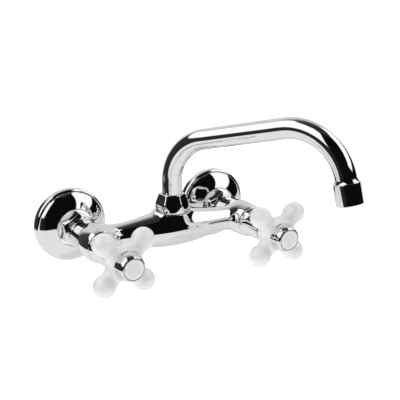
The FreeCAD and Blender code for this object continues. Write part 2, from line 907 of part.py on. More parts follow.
def aerator_housing(label):
    """Screwed sleeve that holds the aerator against its washer."""
    back = dim.collar_skirt + dim.thread_gap
    lip = dim.nozzle_end - dim.nozzle_lip
    body = turned(label, [
        (nozzle_bore_radius, back),
        (dim.nozzle_radius - dim.nozzle_edge, back),
        (dim.nozzle_radius, back + dim.nozzle_edge),
        (dim.nozzle_radius, dim.nozzle_end - dim.nozzle_edge),
        (dim.nozzle_radius - dim.nozzle_edge, dim.nozzle_end),
        (dim.nozzle_mouth_radius, dim.nozzle_end),
        (dim.nozzle_mouth_radius, lip),
        (nozzle_bore_radius, lip),
    ])
    keep(label, body, *outlet_place())


def aerator_washer(label):
    body = turned(label, ring(dim.outlet_washer_bore, nozzle_bore_radius - dim.thread_gap,
                              dim.collar_spigot_end, insert_back))
    keep(label, body, *outlet_place())


def aerator_insert(label):
    """Cup with a perforated floor at the mouth of the spout."""
    outside = nozzle_bore_radius - dim.thread_gap
    front = dim.nozzle_end - dim.nozzle_lip
    plate = front - dim.aerator_plate
    body = turned(label, [
        (0, plate),
        (outside - dim.aerator_wall, plate),
        (outside - dim.aerator_wall, insert_back),
        (outside, insert_back),
        (outside, front),
        (0, front),
    ])
    for circle, count in zip((dim.aerator_inner_circle, dim.aerator_outer_circle),
                             AERATOR_HOLES):
        holes = new_sketch(body, "XY_Plane", ((0, 0, front),))
        draw_circle(holes, dim.aerator_hole_radius, circle, 0)
        repeat_round(body, pocket_down(body, holes, dim.aerator_plate), count)
    keep(label, body, *outlet_place())


# ---------------------------------------------------------------- ceramic headwork

def headwork_body(label, side):
    """Cartridge shell: nose with two windows, thread, flange and the bonnet's thread."""
    body = turned(label, [
        (0, dim.seat_depth + dim.headwork_nose_gap),
        (dim.headwork_radius, dim.seat_depth + dim.headwork_nose_gap),
        (dim.headwork_radius, dim.headwork_thread_start),
        (dim.chamber_radius - dim.thread_gap, dim.headwork_thread_start),
        (dim.chamber_radius - dim.thread_gap, gasket_face),
        (dim.headwork_flange_radius, gasket_face),
        (dim.headwork_flange_radius, flange_face),
        (dim.headwork_neck_radius, flange_face),
        (dim.headwork_neck_radius, dim.headwork_neck_end),
        (dim.headwork_tip_radius, dim.headwork_neck_end),
        (dim.headwork_tip_radius, dim.headwork_tip_end),
        (0, dim.headwork_tip_end),
    ])
    cavity_end = spindle_base_face + dim.running_gap
    cut_outline(body, [
        (0, dim.seat_depth + dim.headwork_nose_gap),
        (dim.headwork_cavity_radius, dim.seat_depth + dim.headwork_nose_gap),
        (dim.headwork_cavity_radius, cavity_end),
        (spindle_bore_radius, cavity_end),
        (spindle_bore_radius, dim.headwork_tip_end),
        (0, dim.headwork_tip_end),
    ])
    windows = new_sketch(body, "YZ_Plane")
    half_width = dim.window_width / 2
    draw_outline(windows, [
        (-half_width, cavity_end - dim.window_height),
        (half_width, cavity_end - dim.window_height),
        (half_width, cavity_end),
        (-half_width, cavity_end),
    ])
    pocket_across(body, windows)
    keep(label, body, *valve_place(side))


def headwork_gasket(label, side):
    body = turned(label, ring(dim.chamber_radius + dim.thread_gap, dim.headwork_flange_radius,
                              dim.barrel_front, gasket_face))
    keep(label, body, *valve_place(side))


def seat_seal(label, side):
    body = turned(label, ring(dim.seal_bore_radius, disc_radius, dim.seat_depth, seal_face))
    keep(label, body, *valve_place(side))


def cut_disc_windows(body, face):
    """Two facing sectors cut through a ceramic disc."""
    half_angle = dim.disc_window_angle / 2
    inner, outer = dim.disc_window_inner, dim.disc_window_outer
    sketch = new_sketch(body, "XY_Plane", ((0, 0, face),))
    draw_outline(sketch, [
        (inner * half_angle.cosine(), -inner * half_angle.sine()),
        (outer * half_angle.cosine(), -outer * half_angle.sine(),
         outer * (1 - half_angle.cosine())),
        (outer * half_angle.cosine(), outer * half_angle.sine()),
        (inner * half_angle.cosine(), inner * half_angle.sine(),
         inner * (half_angle.cosine() - 1)),
    ])
    repeat_round(body, pocket_down(body, sketch, dim.disc_thickness), DISC_WINDOWS)


def fixed_disc(label, side):
    body = turned(label, rod(disc_radius, seal_face, fixed_disc_face))
    cut_disc_windows(body, fixed_disc_face)
    keep(label, body, *valve_place(side))


def moving_disc(label, side):
    """Disc that turns with the spindle, closed a quarter turn from the fixed one."""
    body = turned(label, rod(disc_radius, moving_disc_back, moving_disc_face))
    cut_disc_windows(body, moving_disc_face)
    slot = new_sketch(body, "XZ_Plane")
    half_width = dim.tongue_width / 2 + dim.running_gap
    slot_floor = moving_disc_face - dim.tongue_depth
    draw_outline(slot, box_outline(half_width, slot_floor, moving_disc_face))
    pocket_across(body, slot)
    keep(label, body, *valve_place(side, QUARTER))


def box_outline(half_width, low, high):
    return [(-half_width, low), (half_width, low), (half_width, high), (-half_width, high)]


def spindle(label, side):
    """Turned spindle: tongued base, seal and clip grooves, splined end and screw hole."""
    body = turned(label, [
        (0, spindle_base_back),
        (disc_radius, spindle_base_back),
        (disc_radius, spindle_base_face),
        (dim.spindle_radius, spindle_base_face),
        (dim.spindle_radius, dim.spindle_end),
        (0, dim.spindle_end),
    ])
    tongue = new_sketch(body, "XZ_Plane")
    tongue_tip = spindle_base_back - dim.tongue_depth
    draw_outline(tongue, box_outline(dim.tongue_width / 2, tongue_tip, spindle_base_face))
    pad = body.newObject("PartDesign::Pad", label + "_tongue")
    pad.Profile = tongue
    pad.Midplane = True
    pad.setExpression("Length", (2 * dim.tongue_reach).text)
    flats = new_sketch(body, "XZ_Plane")
    draw_outline(flats, [
        (dim.base_half_width, tongue_tip),
        (2 * disc_radius, tongue_tip),
        (2 * disc_radius, spindle_base_face),
        (dim.base_half_width, spindle_base_face),
    ])
    repeat_round(body, pocket_across(body, flats), DISC_WINDOWS)
    floor = dim.spindle_radius - dim.spindle_seal_groove
    for height in (dim.inner_seal_depth, dim.outer_seal_depth):
        cut_outline(body, groove_ring(floor, dim.spindle_radius, height,
                                      dim.spindle_seal_width))
    cut_outline(body, ring(clip_groove_radius, dim.spindle_radius + dim.moving_gap,
                           clip_back, clip_back + dim.clip_thickness + dim.running_gap))
    cut_outline(body, rod(dim.screw_radius + dim.thread_gap,
                          dim.spindle_end - dim.screw_hole_depth, dim.spindle_end))
    cut_splines(body)
    keep(label, body, *valve_place(side, QUARTER))


def cut_splines(body):
    """Vee grooves along the driving end, one for each spline."""
    half_pitch = HALF_TURN / dim.spline_count
    sketch = new_sketch(body, "XY_Plane", ((0, 0, dim.spindle_end),))
    outside = dim.spindle_radius / half_pitch.cosine()
    draw_outline(sketch, [
        (dim.spline_root_radius, 0),
        (outside, -outside * half_pitch.tangent() * dim.spline_gap_share),
        (outside, outside * half_pitch.tangent() * dim.spline_gap_share),
    ])
    groove = pocket_down(body, sketch, dim.spindle_end - dim.spline_root)
    repeat_round(body, groove, DIMENSIONS["spline_count"])


def circlip(label, side):
    """Open ring in the spindle's groove, in front of the headwork."""
    bore = clip_groove_radius + dim.running_gap
    body = turned(label, ring(bore, dim.clip_radius, clip_back,
                              clip_back + dim.clip_thickness))
    mouth = new_sketch(body, "XY_Plane", ((0, 0, clip_back + dim.clip_thickness),))
    half_width = dim.clip_mouth / 2
    draw_outline(mouth, [
        (0, -half_width),
        (2 * dim.clip_radius, -half_width),
        (2 * dim.clip_radius, half_width),
        (0, half_width),
    ])
    pocket_down(body, mouth, dim.clip_thickness)
    keep(label, body, *valve_place(side))


def bonnet_sleeve(label, side):
    """Chrome sleeve screwed over the headwork, between the barrel and the handle."""
    back = dim.barrel_front + dim.moving_gap
    flange_bore = dim.headwork_flange_radius + dim.moving_gap
    thread_bore = dim.headwork_neck_radius + dim.thread_gap
    mouth = dim.bonnet_sleeve_radius - dim.bonnet_wall
    body = turned(label, [
        (flange_bore, back),
        (dim.bonnet_radius, back),
        (dim.bonnet_radius, back + dim.bonnet_rim, -dim.bonnet_neck_crown),
        (dim.bonnet_sleeve_radius, dim.bonnet_neck),
        (dim.bonnet_sleeve_radius, dim.bonnet_end - dim.bonnet_edge, dim.bonnet_edge_crown),
        (dim.bonnet_sleeve_radius - dim.bonnet_edge, dim.bonnet_end),
        (mouth, dim.bonnet_end),
        (mouth, dim.headwork_neck_end),
        (thread_bore, dim.headwork_neck_end),
        (thread_bore, flange_face + dim.moving_gap),
        (flange_bore, flange_face + dim.moving_gap),
    ])
    keep(label, body, *valve_place(side))


# ---------------------------------------------------------------- handles

def add_arms(body):
    """Four arms, each a waisted neck that swells into a ball."""
    half_angle = dim.arm_ball_angle / 2
    ball_x = dim.arm_ball_reach + dim.arm_ball_radius * dim.arm_ball_angle.cosine()
    ball_y = dim.arm_ball_radius * dim.arm_ball_angle.sine()
    profile = [
        (0, 0),
        (dim.arm_ball_reach + dim.arm_ball_radius, 0,
         dim.arm_ball_radius * (1 - half_angle.cosine())),
        (ball_x, ball_y, -dim.arm_waist_crown),
        (dim.arm_root_reach, dim.arm_root_radius),
        (0, dim.arm_root_radius),
    ]
    arm_axis = dim.hub_front - dim.arm_land - dim.arm_root_radius
    arm = turn_outline(body, profile, axis="H_Axis",
                       offset=((0, arm_axis, 0), Y_AXIS, QUARTER / 2))
    repeat_round(body, arm, ARM_COUNT)


def handle(label, side):
    """Porcelain cross handle with a stepped bore for its brass insert."""
    body = turned(label, [
        (0, dim.hub_back),
        (dim.hub_back_radius, dim.hub_back, dim.hub_crown),
        (dim.hub_front_radius, dim.hub_front),
        (0, dim.hub_front),
    ])
    add_arms(body)
    fillet_edges(body, dim.arm_fillet, is_arm_root)
    step = cup_back - dim.porcelain_gap
    cut_outline(body, [
        (0, dim.hub_back),
        (dim.insert_radius + dim.porcelain_gap, dim.hub_back),
        (dim.insert_radius + dim.porcelain_gap, step),
        (dim.insert_cup_radius + dim.porcelain_gap, step),
        (dim.insert_cup_radius + dim.porcelain_gap, dim.hub_front),
        (0, dim.hub_front),
    ])
    keep(label, body, *valve_place(side))


def is_arm_root(edge):
    """True for an edge where an arm leaves the side of the hub."""
    box = edge.BoundBox
    on_side = dim.hub_back.value < box.ZMin and box.ZMax < dim.hub_front.value
    off_axis = math.hypot(box.Center.x, box.Center.y)
    widest = dim.hub_front_radius + dim.hub_crown
    return on_side and dim.arm_root_reach.value < off_axis < widest.value


def splined_insert(label, side):
    """Brass core of the handle, open to the spindle behind and to the cap in front."""
    drive_end = dim.spindle_end + dim.moving_gap
    drive_bore = dim.spindle_radius + dim.thread_gap
    screw_bore = dim.screw_radius + dim.moving_gap
    cup_bore = dim.cap_thread_radius + dim.thread_gap
    body = turned(label, [
        (drive_bore, dim.insert_back),
        (dim.insert_radius, dim.insert_back),
        (dim.insert_radius, cup_back),
        (dim.insert_cup_radius, cup_back),
        (dim.insert_cup_radius, dim.hub_front),
        (cup_bore, dim.hub_front),
        (cup_bore, dim.insert_cup_floor),
        (screw_bore, dim.insert_cup_floor),
        (screw_bore, drive_end),
        (drive_bore, drive_end),
    ])
    keep(label, body, *valve_place(side))


def handle_screw(label, side):
    """Slotted screw that holds the handle on the spindle."""
    head_top = dim.insert_cup_floor + dim.screw_head_height
    body = turned(label, [
        (0, dim.insert_cup_floor - dim.screw_reach),
        (dim.screw_radius, dim.insert_cup_floor - dim.screw_reach),
        (dim.screw_radius, dim.insert_cup_floor),
        (dim.screw_head_radius, dim.insert_cup_floor),
        (dim.screw_head_radius, head_top),
        (0, head_top),
    ])
    slot = new_sketch(body, "XZ_Plane")
    draw_outline(slot, box_outline(dim.screw_slot_width / 2,
                                   head_top - dim.screw_slot_depth, head_top))
    pocket_across(body, slot)
    keep(label, body, *valve_place(side))


def handle_cap(label, side):
    """Chrome cap screwed into the insert, with a recess for the index disc."""
    thread_back = dim.hub_front - dim.cap_thread_length
    recess_floor = dim.cap_end - dim.index_recess
    body = turned(label, [
        (dim.cap_bore_radius, thread_back),
        (dim.cap_thread_radius, thread_back),
        (dim.cap_thread_radius, dim.hub_front),
        (dim.cap_step_radius, dim.hub_front),
        (dim.cap_step_radius, dim.hub_front + dim.cap_step),
        (dim.cap_radius, dim.hub_front + dim.cap_step),
        (dim.cap_radius, dim.cap_end - dim.cap_edge, dim.cap_edge_crown),
        (dim.cap_radius - dim.cap_edge, dim.cap_end),
        (dim.index_radius + dim.index_gap, dim.cap_end),
        (dim.index_radius + dim.index_gap, recess_floor),
        (0, recess_floor),
        (0, recess_floor - dim.cap_floor),
        (dim.cap_bore_radius, recess_floor - dim.cap_floor),
    ])
    keep(label, body, *valve_place(side))


def index_disc(label, side):
    recess_floor = dim.cap_end - dim.index_recess
    body = turned(label, rod(dim.index_radius, recess_floor,
                             recess_floor + dim.index_thickness))
    keep(label, body, *valve_place(side))


# ---------------------------------------------------------------- the whole tap

VALVE_PIECES = {
    "wall_union": wall_union,
    "escutcheon": escutcheon,
    "union_washer": union_washer,
    "union_nut": union_nut,
    "inlet_nipple": inlet_nipple,
    "headwork_body": headwork_body,
    "headwork_gasket": headwork_gasket,
    "seat_seal": seat_seal,
    "fixed_disc": fixed_disc,
    "moving_disc": moving_disc,
    "spindle": spindle,
    "circlip": circlip,
    "bonnet_sleeve": bonnet_sleeve,
    "handle": handle,
    "splined_insert": splined_insert,
    "handle_screw": handle_screw,
    "handle_cap": handle_cap,
    "index_disc": index_disc,
}

SPOUT_PIECES = {
    "spout_nut": spout_nut,
    "spout_slip_ring": spout_slip_ring,
    "spout_ferrule": spout_ferrule,
    "spout_tube": spout_tube,
    "nozzle_collar": nozzle_collar,
    "aerator_housing": aerator_housing,
    "aerator_washer": aerator_washer,
    "aerator_insert": aerator_insert,
}


def build_valve(name, side):
    for piece, build in VALVE_PIECES.items():
        build(f"{name}_{piece}", side)
    floor = dim.spindle_radius - dim.spindle_seal_groove
    for place_name, height in (("inner", dim.inner_seal_depth), ("outer", dim.outer_seal_depth)):
        seal_ring(f"{name}_spindle_seal_{place_name}", floor, spindle_bore_radius, height,
                  *valve_place(side))


def build_spout():
    for piece, build in SPOUT_PIECES.items():
        build(piece)
    floor = ferrule_radius - dim.seal_groove_depth
    for place_name, height in (("lower", dim.lower_seal_height),
                               ("upper", dim.upper_seal_height)):
        seal_ring(f"spout_seal_{place_name}", floor, dim.socket_radius, height,
                  spout_place())


def write_parts():
    """Check every object and write one file for each sub-part."""
    doc.recompute()
    for obj in doc.Objects:
        if "Invalid" in obj.State or "Error" in obj.State:
            raise RuntimeError(f"{obj.Label} failed: {obj.State}")
    for label, obj in subparts.items():
        if obj.Shape.isNull() or not obj.Shape.isValid() or len(obj.Shape.Solids) != 1:
            raise RuntimeError(f"{label} is not one valid solid")
    os.makedirs("parts", exist_ok=True)
    for label, obj in subparts.items():
        obj.Shape.exportStep(f"parts/{label}.step")


tap_body("tap_body")
for valve_name, valve_side in SIDES.items():
    build_valve(valve_name, valve_side)
build_spout()
write_parts()
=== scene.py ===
"""Looks of a wall-mounted kitchen tap with two porcelain cross handles, in its solids' frame."""
import json
import math

import bpy
import numpy as np
from bpy.props import FloatProperty, FloatVectorProperty, PointerProperty
from mathutils import Matrix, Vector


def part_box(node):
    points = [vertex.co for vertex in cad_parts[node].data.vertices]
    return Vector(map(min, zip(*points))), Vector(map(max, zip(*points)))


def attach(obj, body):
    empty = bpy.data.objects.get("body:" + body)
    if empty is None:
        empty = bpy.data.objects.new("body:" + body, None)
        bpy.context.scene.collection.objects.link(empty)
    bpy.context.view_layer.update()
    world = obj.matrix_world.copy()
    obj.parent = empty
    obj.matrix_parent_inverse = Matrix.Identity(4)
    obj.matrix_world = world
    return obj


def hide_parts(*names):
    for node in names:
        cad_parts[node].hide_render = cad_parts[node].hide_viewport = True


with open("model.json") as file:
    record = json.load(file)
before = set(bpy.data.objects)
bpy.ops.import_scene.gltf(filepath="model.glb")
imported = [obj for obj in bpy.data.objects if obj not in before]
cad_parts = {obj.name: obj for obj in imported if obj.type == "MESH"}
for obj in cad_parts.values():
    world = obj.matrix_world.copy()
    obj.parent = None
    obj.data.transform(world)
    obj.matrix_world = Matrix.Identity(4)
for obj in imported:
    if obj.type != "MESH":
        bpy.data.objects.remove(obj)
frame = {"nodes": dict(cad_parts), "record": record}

bl_info = {
    "name": "Wall tap looks",
    "version": (1, 0, 0),
    "blender": (4, 5, 0),
    "location": "View3D > Sidebar > Tap",
    "description": "Surfaces, finishes and a plain studio for a wall-mounted two handle tap",
    "category": "Object",
}

MM = 0.001
SIDES = {"hot": -1, "cold": 1}

# Where the tap's parts stand, in millimetres: valve axes, bridge axis and spout axis.
HALF_SPACING = 75.0
VALVE_HEIGHT = 8.0
BRIDGE_DEPTH = 61.5
BRIDGE_HEIGHT = 10.0
SPOUT_NUT_TURN = math.radians(7.0)

# Body casting: places, radii and slopes along the bridge, and out along a valve barrel.
BRIDGE_KNOTS = ((0.0, 22.0, 51.0, 76.0), (16.7, 15.2, 11.3, 13.3), (0.0, -0.16, -0.045, 0.17))
BARREL_KNOTS = ((30.0, 33.0, 62.0, 72.0, 78.0), (11.7, 12.45, 15.3, 15.35, 14.3),
                (0.3, 0.13, 0.06, -0.05, -0.25))
BARREL_ENDS = (30.0, 78.0)
BARREL_END_ROUNDING = 0.8
BOSS_RADIUS, BOSS_FACE, FACING_MARGIN, FACING_HEIGHT = 15.5, 25.4, 0.6, 20.0
SPIGOT_RADIUS, SPIGOT_FOOT, SPIGOT_FACE = 12.0, 20.0, 29.6
SOCKET_RADIUS, SOCKET_FLOOR = 9.6, 16.2
CHAMBER_RADIUS, CHAMBER_FLOOR = 10.5, 52.0
NIPPLE_SOCKET_RADIUS, NIPPLE_SOCKET_END = 9.85, 38.9
PAST_A_FACE = 5.0
BODY_NET = ((-93, -80, -9), (93, -28, 32), 0.8)

# Nuts: hexagon sizes, heights and bores, and the cones that cut the corners off.
UNION_NUT = {"flats": 29.0, "back": 12.0, "front": 28.4, "bore": 13.15, "mouth": 10.1,
             "shoulder": 24.65, "lip": 12.6, "front_cone": 13.9, "back_cone": 15.6,
             "cone_rise": 1.35, "front_softness": 0.22, "back_softness": 0.15}
SPOUT_NUT = {"radius": 15.1, "foot": 17.7, "top": 34.0, "top_flats": 20.8, "flat_foot": 20.6,
             "bore": 12.05, "hole": 9.2, "top_rounding": 0.8, "foot_cone": 14.3,
             "cone_rise": 1.6, "flat_softness": 0.2, "foot_softness": 0.15}
NUT_ROWS, NUT_COLUMNS = 70, 240

# Wall union: threaded stub on the inlet axis, then a skewed neck and the nut's thread.
STUB_END, STUB_RADIUS, STUB_ROOT = -14.0, 10.48, 3.0
THREAD_PITCH, THREAD_DEPTH, THREAD_ROUNDNESS = 1.814, 1.1, 0.8
THREAD_START_RADIUS, THREAD_FADE, THREAD_STEP = 9.2, 1.5, 0.2
NECK_END, NECK_RADIUS, NECK_CHAMFER, UNION_END = 9.0, 13.1, 0.6, 20.0
UNION_BORE, UNION_MOUTH = 7.0, 8.0

# Porcelain handle and its cap, by height above the wall along the valve axis.
HUB_KNOTS = ((105.8, 110.0, 119.4, 125.0, 127.0), (11.4, 13.3, 14.0, 13.2, 12.5),
             (0.8, 0.3, -0.02, -0.3, -0.5))
HUB_END_ROUNDING, HANDLE_BORE = 1.2, 9.6
ARM_DEPTH, BALL_BLEND = 119.4, 1.0
ARM_KNOTS = ((0.0, 10.0, 16.0, 23.0), (8.2, 7.2, 7.7, 9.2), (0.0, -0.03, 0.18, 0.16))
BALL_REACH, BALL_RADIUS = 25.3, 9.4
HUB_FRONT = 127.0
HANDLE_NET = ((-29, -29, 104.5), (29, 29, 130.5), 0.7)
CAP_STEP_RADIUS, CAP_STEP = 12.3, 1.0
CAP_RADIUS, CAP_END = 12.2, 138.9
CAP_BORE, CAP_SKIRT_BORE, CAP_BACK = 6.2, 8.0, 121.6
DISC_RADIUS, DISC_THICKNESS, DISC_RECESS = 9.0, 1.0, 0.8
DISC_CROWN = ((8.8, 0.05), (6.0, 0.02), (3.0, 0.0))
# Sizes of the dark ring on each disc's rim: painted shade for the groove between disc and cap.
BORDER_WIDTH, BORDER_DEPTH, BORDER_SINK, RIM_WIDTH, DISC_GAP = 0.4, 0.1, 0.02, 0.15, 0.1

# The photograph's camera: place in millimetres, yaw, pitch and roll, and lens for 36 mm of width.
CAMERA_PLACE = (-359.795, -743.410, 260.581)
CAMERA_YAW = 0.5181876
CAMERA_PITCH = -0.2840897
CAMERA_ROLL = 0.0039
CAMERA_LENS = 80.503

# The studio as shiny things see it, in degrees: azimuth from -Y towards +X, and elevation.
SURROUND_RADIUS, SURROUND_GRID = 12.0, (481, 241)
# Matt things are lit by this share of the panels' glow and by an even light on top of it.
PANEL_SHARE, EVEN_LIGHT = 1.0, 0.52
FLOOR_LIFT, FLOOR_HEIGHT, FLOOR_REACH = 0.5, -0.6, 30.0
BACK_LEVELS = ((-20, 45, 55, 70, 90), (0.78, 0.72, 0.45, 0.07, 0.03))
FRONT_LEVELS = ((-180, -165, -145, -70, -55, 180), (0.09, 0.06, 0.035, 0.02, 0.004, 0.004))
FRONT_SIDES, FRONT_BLUR = (-165, 110), 14
ZENITH, ZENITH_LEVEL = 66, 0.03
HORIZON_LINE, HORIZON_BLUR = ((-180, -60, -25, 60, 110, 180), (-17.5, -17.5, -14, -12, -5, -4)), 1.6
FLOOR_LEVELS = ((-180, 20, 90, 180), (0.9, 0.9, 0.74, 0.74))
SOFT_BOXES = (
    # corners, blur and strength: a panel to the right, and one to the left
    (((23, 22), (57, 10), (84, 20), (112, 26), (112, 62), (52, 64)), 3.0, 1.2),
    (((-100, 14), (-64, 12), (-47, 58), (-60, 66), (-150, 66), (-165, 38)), 3.0, 1.2),
)

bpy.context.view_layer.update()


# ---------------------------------------------------------------- colours and materials

def linear(hex_colour):
    """An sRGB hex colour as linear RGBA: each channel through the sRGB curve."""
    values = [int(hex_colour[i:i + 2], 16) / 255 for i in (1, 3, 5)]
    return [v / 12.92 if v <= 0.04045 else ((v + 0.055) / 1.055) ** 2.4 for v in values] + [1.0]


def add_node(tree, kind, settings=None, inputs=None, links=None):
    """Add one node: its settings, the values of its own sockets, and links into it."""
    node = tree.nodes.new(kind)
    for name, value in (settings or {}).items():
        setattr(node, name, value)
    for name, value in (inputs or {}).items():
        node.inputs[name].default_value = value
    for name, source in (links or {}).items():
        tree.links.new(source, node.inputs[name])
    return node


def new_material(name):
    """An empty node material with its output node."""
    material = bpy.data.materials.new(name)
    material.use_nodes = True
    material.node_tree.nodes.clear()
    return material, material.node_tree, material.node_tree.nodes.new("ShaderNodeOutputMaterial")


def noise_on_object(tree, size_mm, detail=2.0, stretch=(1, 1, 1)):
    """Noise in object space whose grains are about size_mm across."""
    place = add_node(tree, "ShaderNodeTexCoord")
    scale = [s / (size_mm * MM) for s in stretch]
    mapping = add_node(tree, "ShaderNodeMapping", inputs={"Scale": scale},
                       links={"Vector": place.outputs["Object"]})
    return add_node(tree, "ShaderNodeTexNoise", inputs={"Scale": 1.0, "Detail": detail},
                    links={"Vector": mapping.outputs["Vector"]})


def ranged(tree, source, low, high):
    """Spread a 0 to 1 value over another range."""
    return add_node(tree, "ShaderNodeMapRange", inputs={"To Min": low, "To Max": high},
                    links={"Value": source})


def darker(colour, share):
    """The same linear colour with its light cut by a share."""
    return [v * (1.0 - share) for v in colour[:3]] + [1.0]


def surface(name, colour, wander, grain_mm, roughness, bump_mm=0.0, detail=2.0,
            stretch=(1, 1, 1), **shader):
    """A principled material whose colour and roughness wander gently over its grain."""
    material, tree, output = new_material(name)
    noise = noise_on_object(tree, grain_mm, detail, stretch)
    ramp = add_node(tree, "ShaderNodeValToRGB", links={"Fac": noise.outputs["Fac"]})
    ramp.color_ramp.elements[0].position = 0.35
    ramp.color_ramp.elements[0].color = darker(colour, wander)
    ramp.color_ramp.elements[1].position = 0.65
    ramp.color_ramp.elements[1].color = colour
    rough = ranged(tree, noise.outputs["Fac"], *roughness)
    links = {"Base Color": ramp.outputs["Color"], "Roughness": rough.outputs["Result"]}
    if bump_mm:
        bump = add_node(tree, "ShaderNodeBump", inputs={"Distance": bump_mm * MM},
                        links={"Height": noise.outputs["Fac"]})
        links["Normal"] = bump.outputs["Normal"]
    body = add_node(tree, "ShaderNodeBsdfPrincipled", inputs=shader, links=links)
    tree.links.new(body.outputs["BSDF"], output.inputs["Surface"])
    return material


MATERIALS = {}


def make_materials(colours):
    """Every finish of the tap, by the record's slot name."""
    MATERIALS.update({
        # Chrome plate over polished brass: a clear neutral mirror.
        "chrome": surface("chrome_plate_polished", list(colours.chrome), 0.03, 9.0,
                          (0.012, 0.028), Metallic=1.0),
        # Machined brass left bare: warm, satin, with fine turning marks.
        "raw_brass": surface("brass_machined", linear("#C7A25A"), 0.2, 0.8, (0.22, 0.36), 0.01,
                             Metallic=1.0),
        # Stainless steel as rolled: grey and satin.
        "steel": surface("stainless_steel_satin", linear("#B4B6B9"), 0.15, 0.6, (0.25, 0.4),
                         0.005, Metallic=1.0),
        # Nitrile rubber as moulded: black and matt.
        "black_rubber": surface("nitrile_rubber_moulded", linear("#1C1C1D"), 0.3, 0.7,
                                (0.55, 0.7), 0.02),
        # Glazed porcelain: white body under a clear, wet-looking glaze.
        "white_porcelain": surface("porcelain_glazed", list(colours.porcelain), 0.03, 14.0,
                                   (0.09, 0.14),
                                   **{"Coat Weight": 0.6, "Coat Roughness": 0.03, "IOR": 1.5}),
        # Lapped alumina: cream and smooth.
        "valve_ceramic": surface("alumina_lapped", linear("#EDEBE2"), 0.06, 0.9, (0.18, 0.28)),
        # Enamelled index disc: plain, pale and glossy.
        "white_enamel": surface("enamel_plain", list(colours.enamel), 0.05, 3.0, (0.1, 0.16)),
        # Acetal as moulded: off-white and satin.
        "white_acetal": surface("acetal_moulded", linear("#E6E6E2"), 0.06, 0.9, (0.38, 0.5),
                                0.01),
    })
    # Painted shade: a glossy black ring round each index disc stands for the shade in the groove
    # between disc and cap.
    MATERIALS["painted_shade_ring"] = surface("painted_groove_shade_ring", linear("#161616"), 0.2, 1.0, (0.1, 0.2))


def dress_nodes():
    """Give each carried-over solid its slot's material."""
    for part in frame["record"]["subparts"]:
        node = frame["nodes"][part["node"]]
        node.data.materials.clear()
        node.data.materials.append(MATERIALS[part["material_slot"]])


# ---------------------------------------------------------------- meshes and curves

def smooth_mesh(name, points, faces, normals=None):
    """A smooth-shaded mesh from whole arrays in millimetres, with its own normals if given."""
    mesh = bpy.data.meshes.new(name)
    mesh.from_pydata(np.asarray(points).reshape(-1, 3) * MM, [], faces.tolist())
    mesh.shade_smooth()
    if normals is not None:
        mesh.normals_split_custom_set_from_vertices(normals.tolist())
    return mesh


def add_piece(name, mesh, body, slot, replaced=None, material=None):
    """A finished piece of one body, in a slot's material, standing for a solid if named."""
    mesh.materials.append(MATERIALS[material or slot])
    obj = bpy.data.objects.new(name, mesh)
    bpy.context.scene.collection.objects.link(obj)
    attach(obj, body)
    if replaced:
        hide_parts(replaced)
    return obj


def shell_faces(rows, cols):
    """Quads of a grid that closes both ways: rows run round the section, columns round the axis."""
    index = np.arange(rows * cols).reshape(rows, cols)
    down, along = np.roll(index, -1, 0), np.roll(index, -1, 1)
    both = np.roll(down, -1, 1)
    return np.stack([index, along, both, down], -1).reshape(-1, 4)


def knot_curve(x, knots):
    """Smooth curve through knots of place, value and slope: a cubic on each span, flat outside."""
    places, values, slopes = (np.asarray(part, float) for part in knots)
    x = np.clip(x, places[0], places[-1])
    span = np.clip(np.searchsorted(places, x, side="right") - 1, 0, len(places) - 2)
    width = places[span + 1] - places[span]
    t = (x - places[span]) / width
    return ((1 + 2 * t) * (1 - t) ** 2 * values[span] + t * (1 - t) ** 2 * width * slopes[span]
            + t * t * (3 - 2 * t) * values[span + 1] + t * t * (t - 1) * width * slopes[span + 1])


def soft_least(a, b, softness):
    """The lesser of two values, rounded where they meet: less softness times ln of the sum."""
    low = np.minimum(a, b)
    return low - softness * np.log1p(np.exp(-np.abs(a - b) / softness))


def hexagon(angle, apothem, sharpness, turn=0.0):
    """Radius of a hexagon with rounded corners: apothem over a power mean of six cosines."""
    corners = angle[..., None] - turn - np.arange(6) * math.pi / 3
    mean = (np.clip(np.cos(corners), 0, None) ** sharpness).sum(-1) ** (1 / sharpness)
    return apothem / mean


def on_valve(side, radius, angle, height):
    """Row frame points from a valve's cylinder coordinates, the height out of the wall."""
    radius, angle, height = np.broadcast_arrays(radius, angle, height)
    return np.stack([side * HALF_SPACING + radius * np.cos(angle), -height,
                     VALVE_HEIGHT + radius * np.sin(angle)], -1)


# ---------------------------------------------------------------- shapes blended from parts

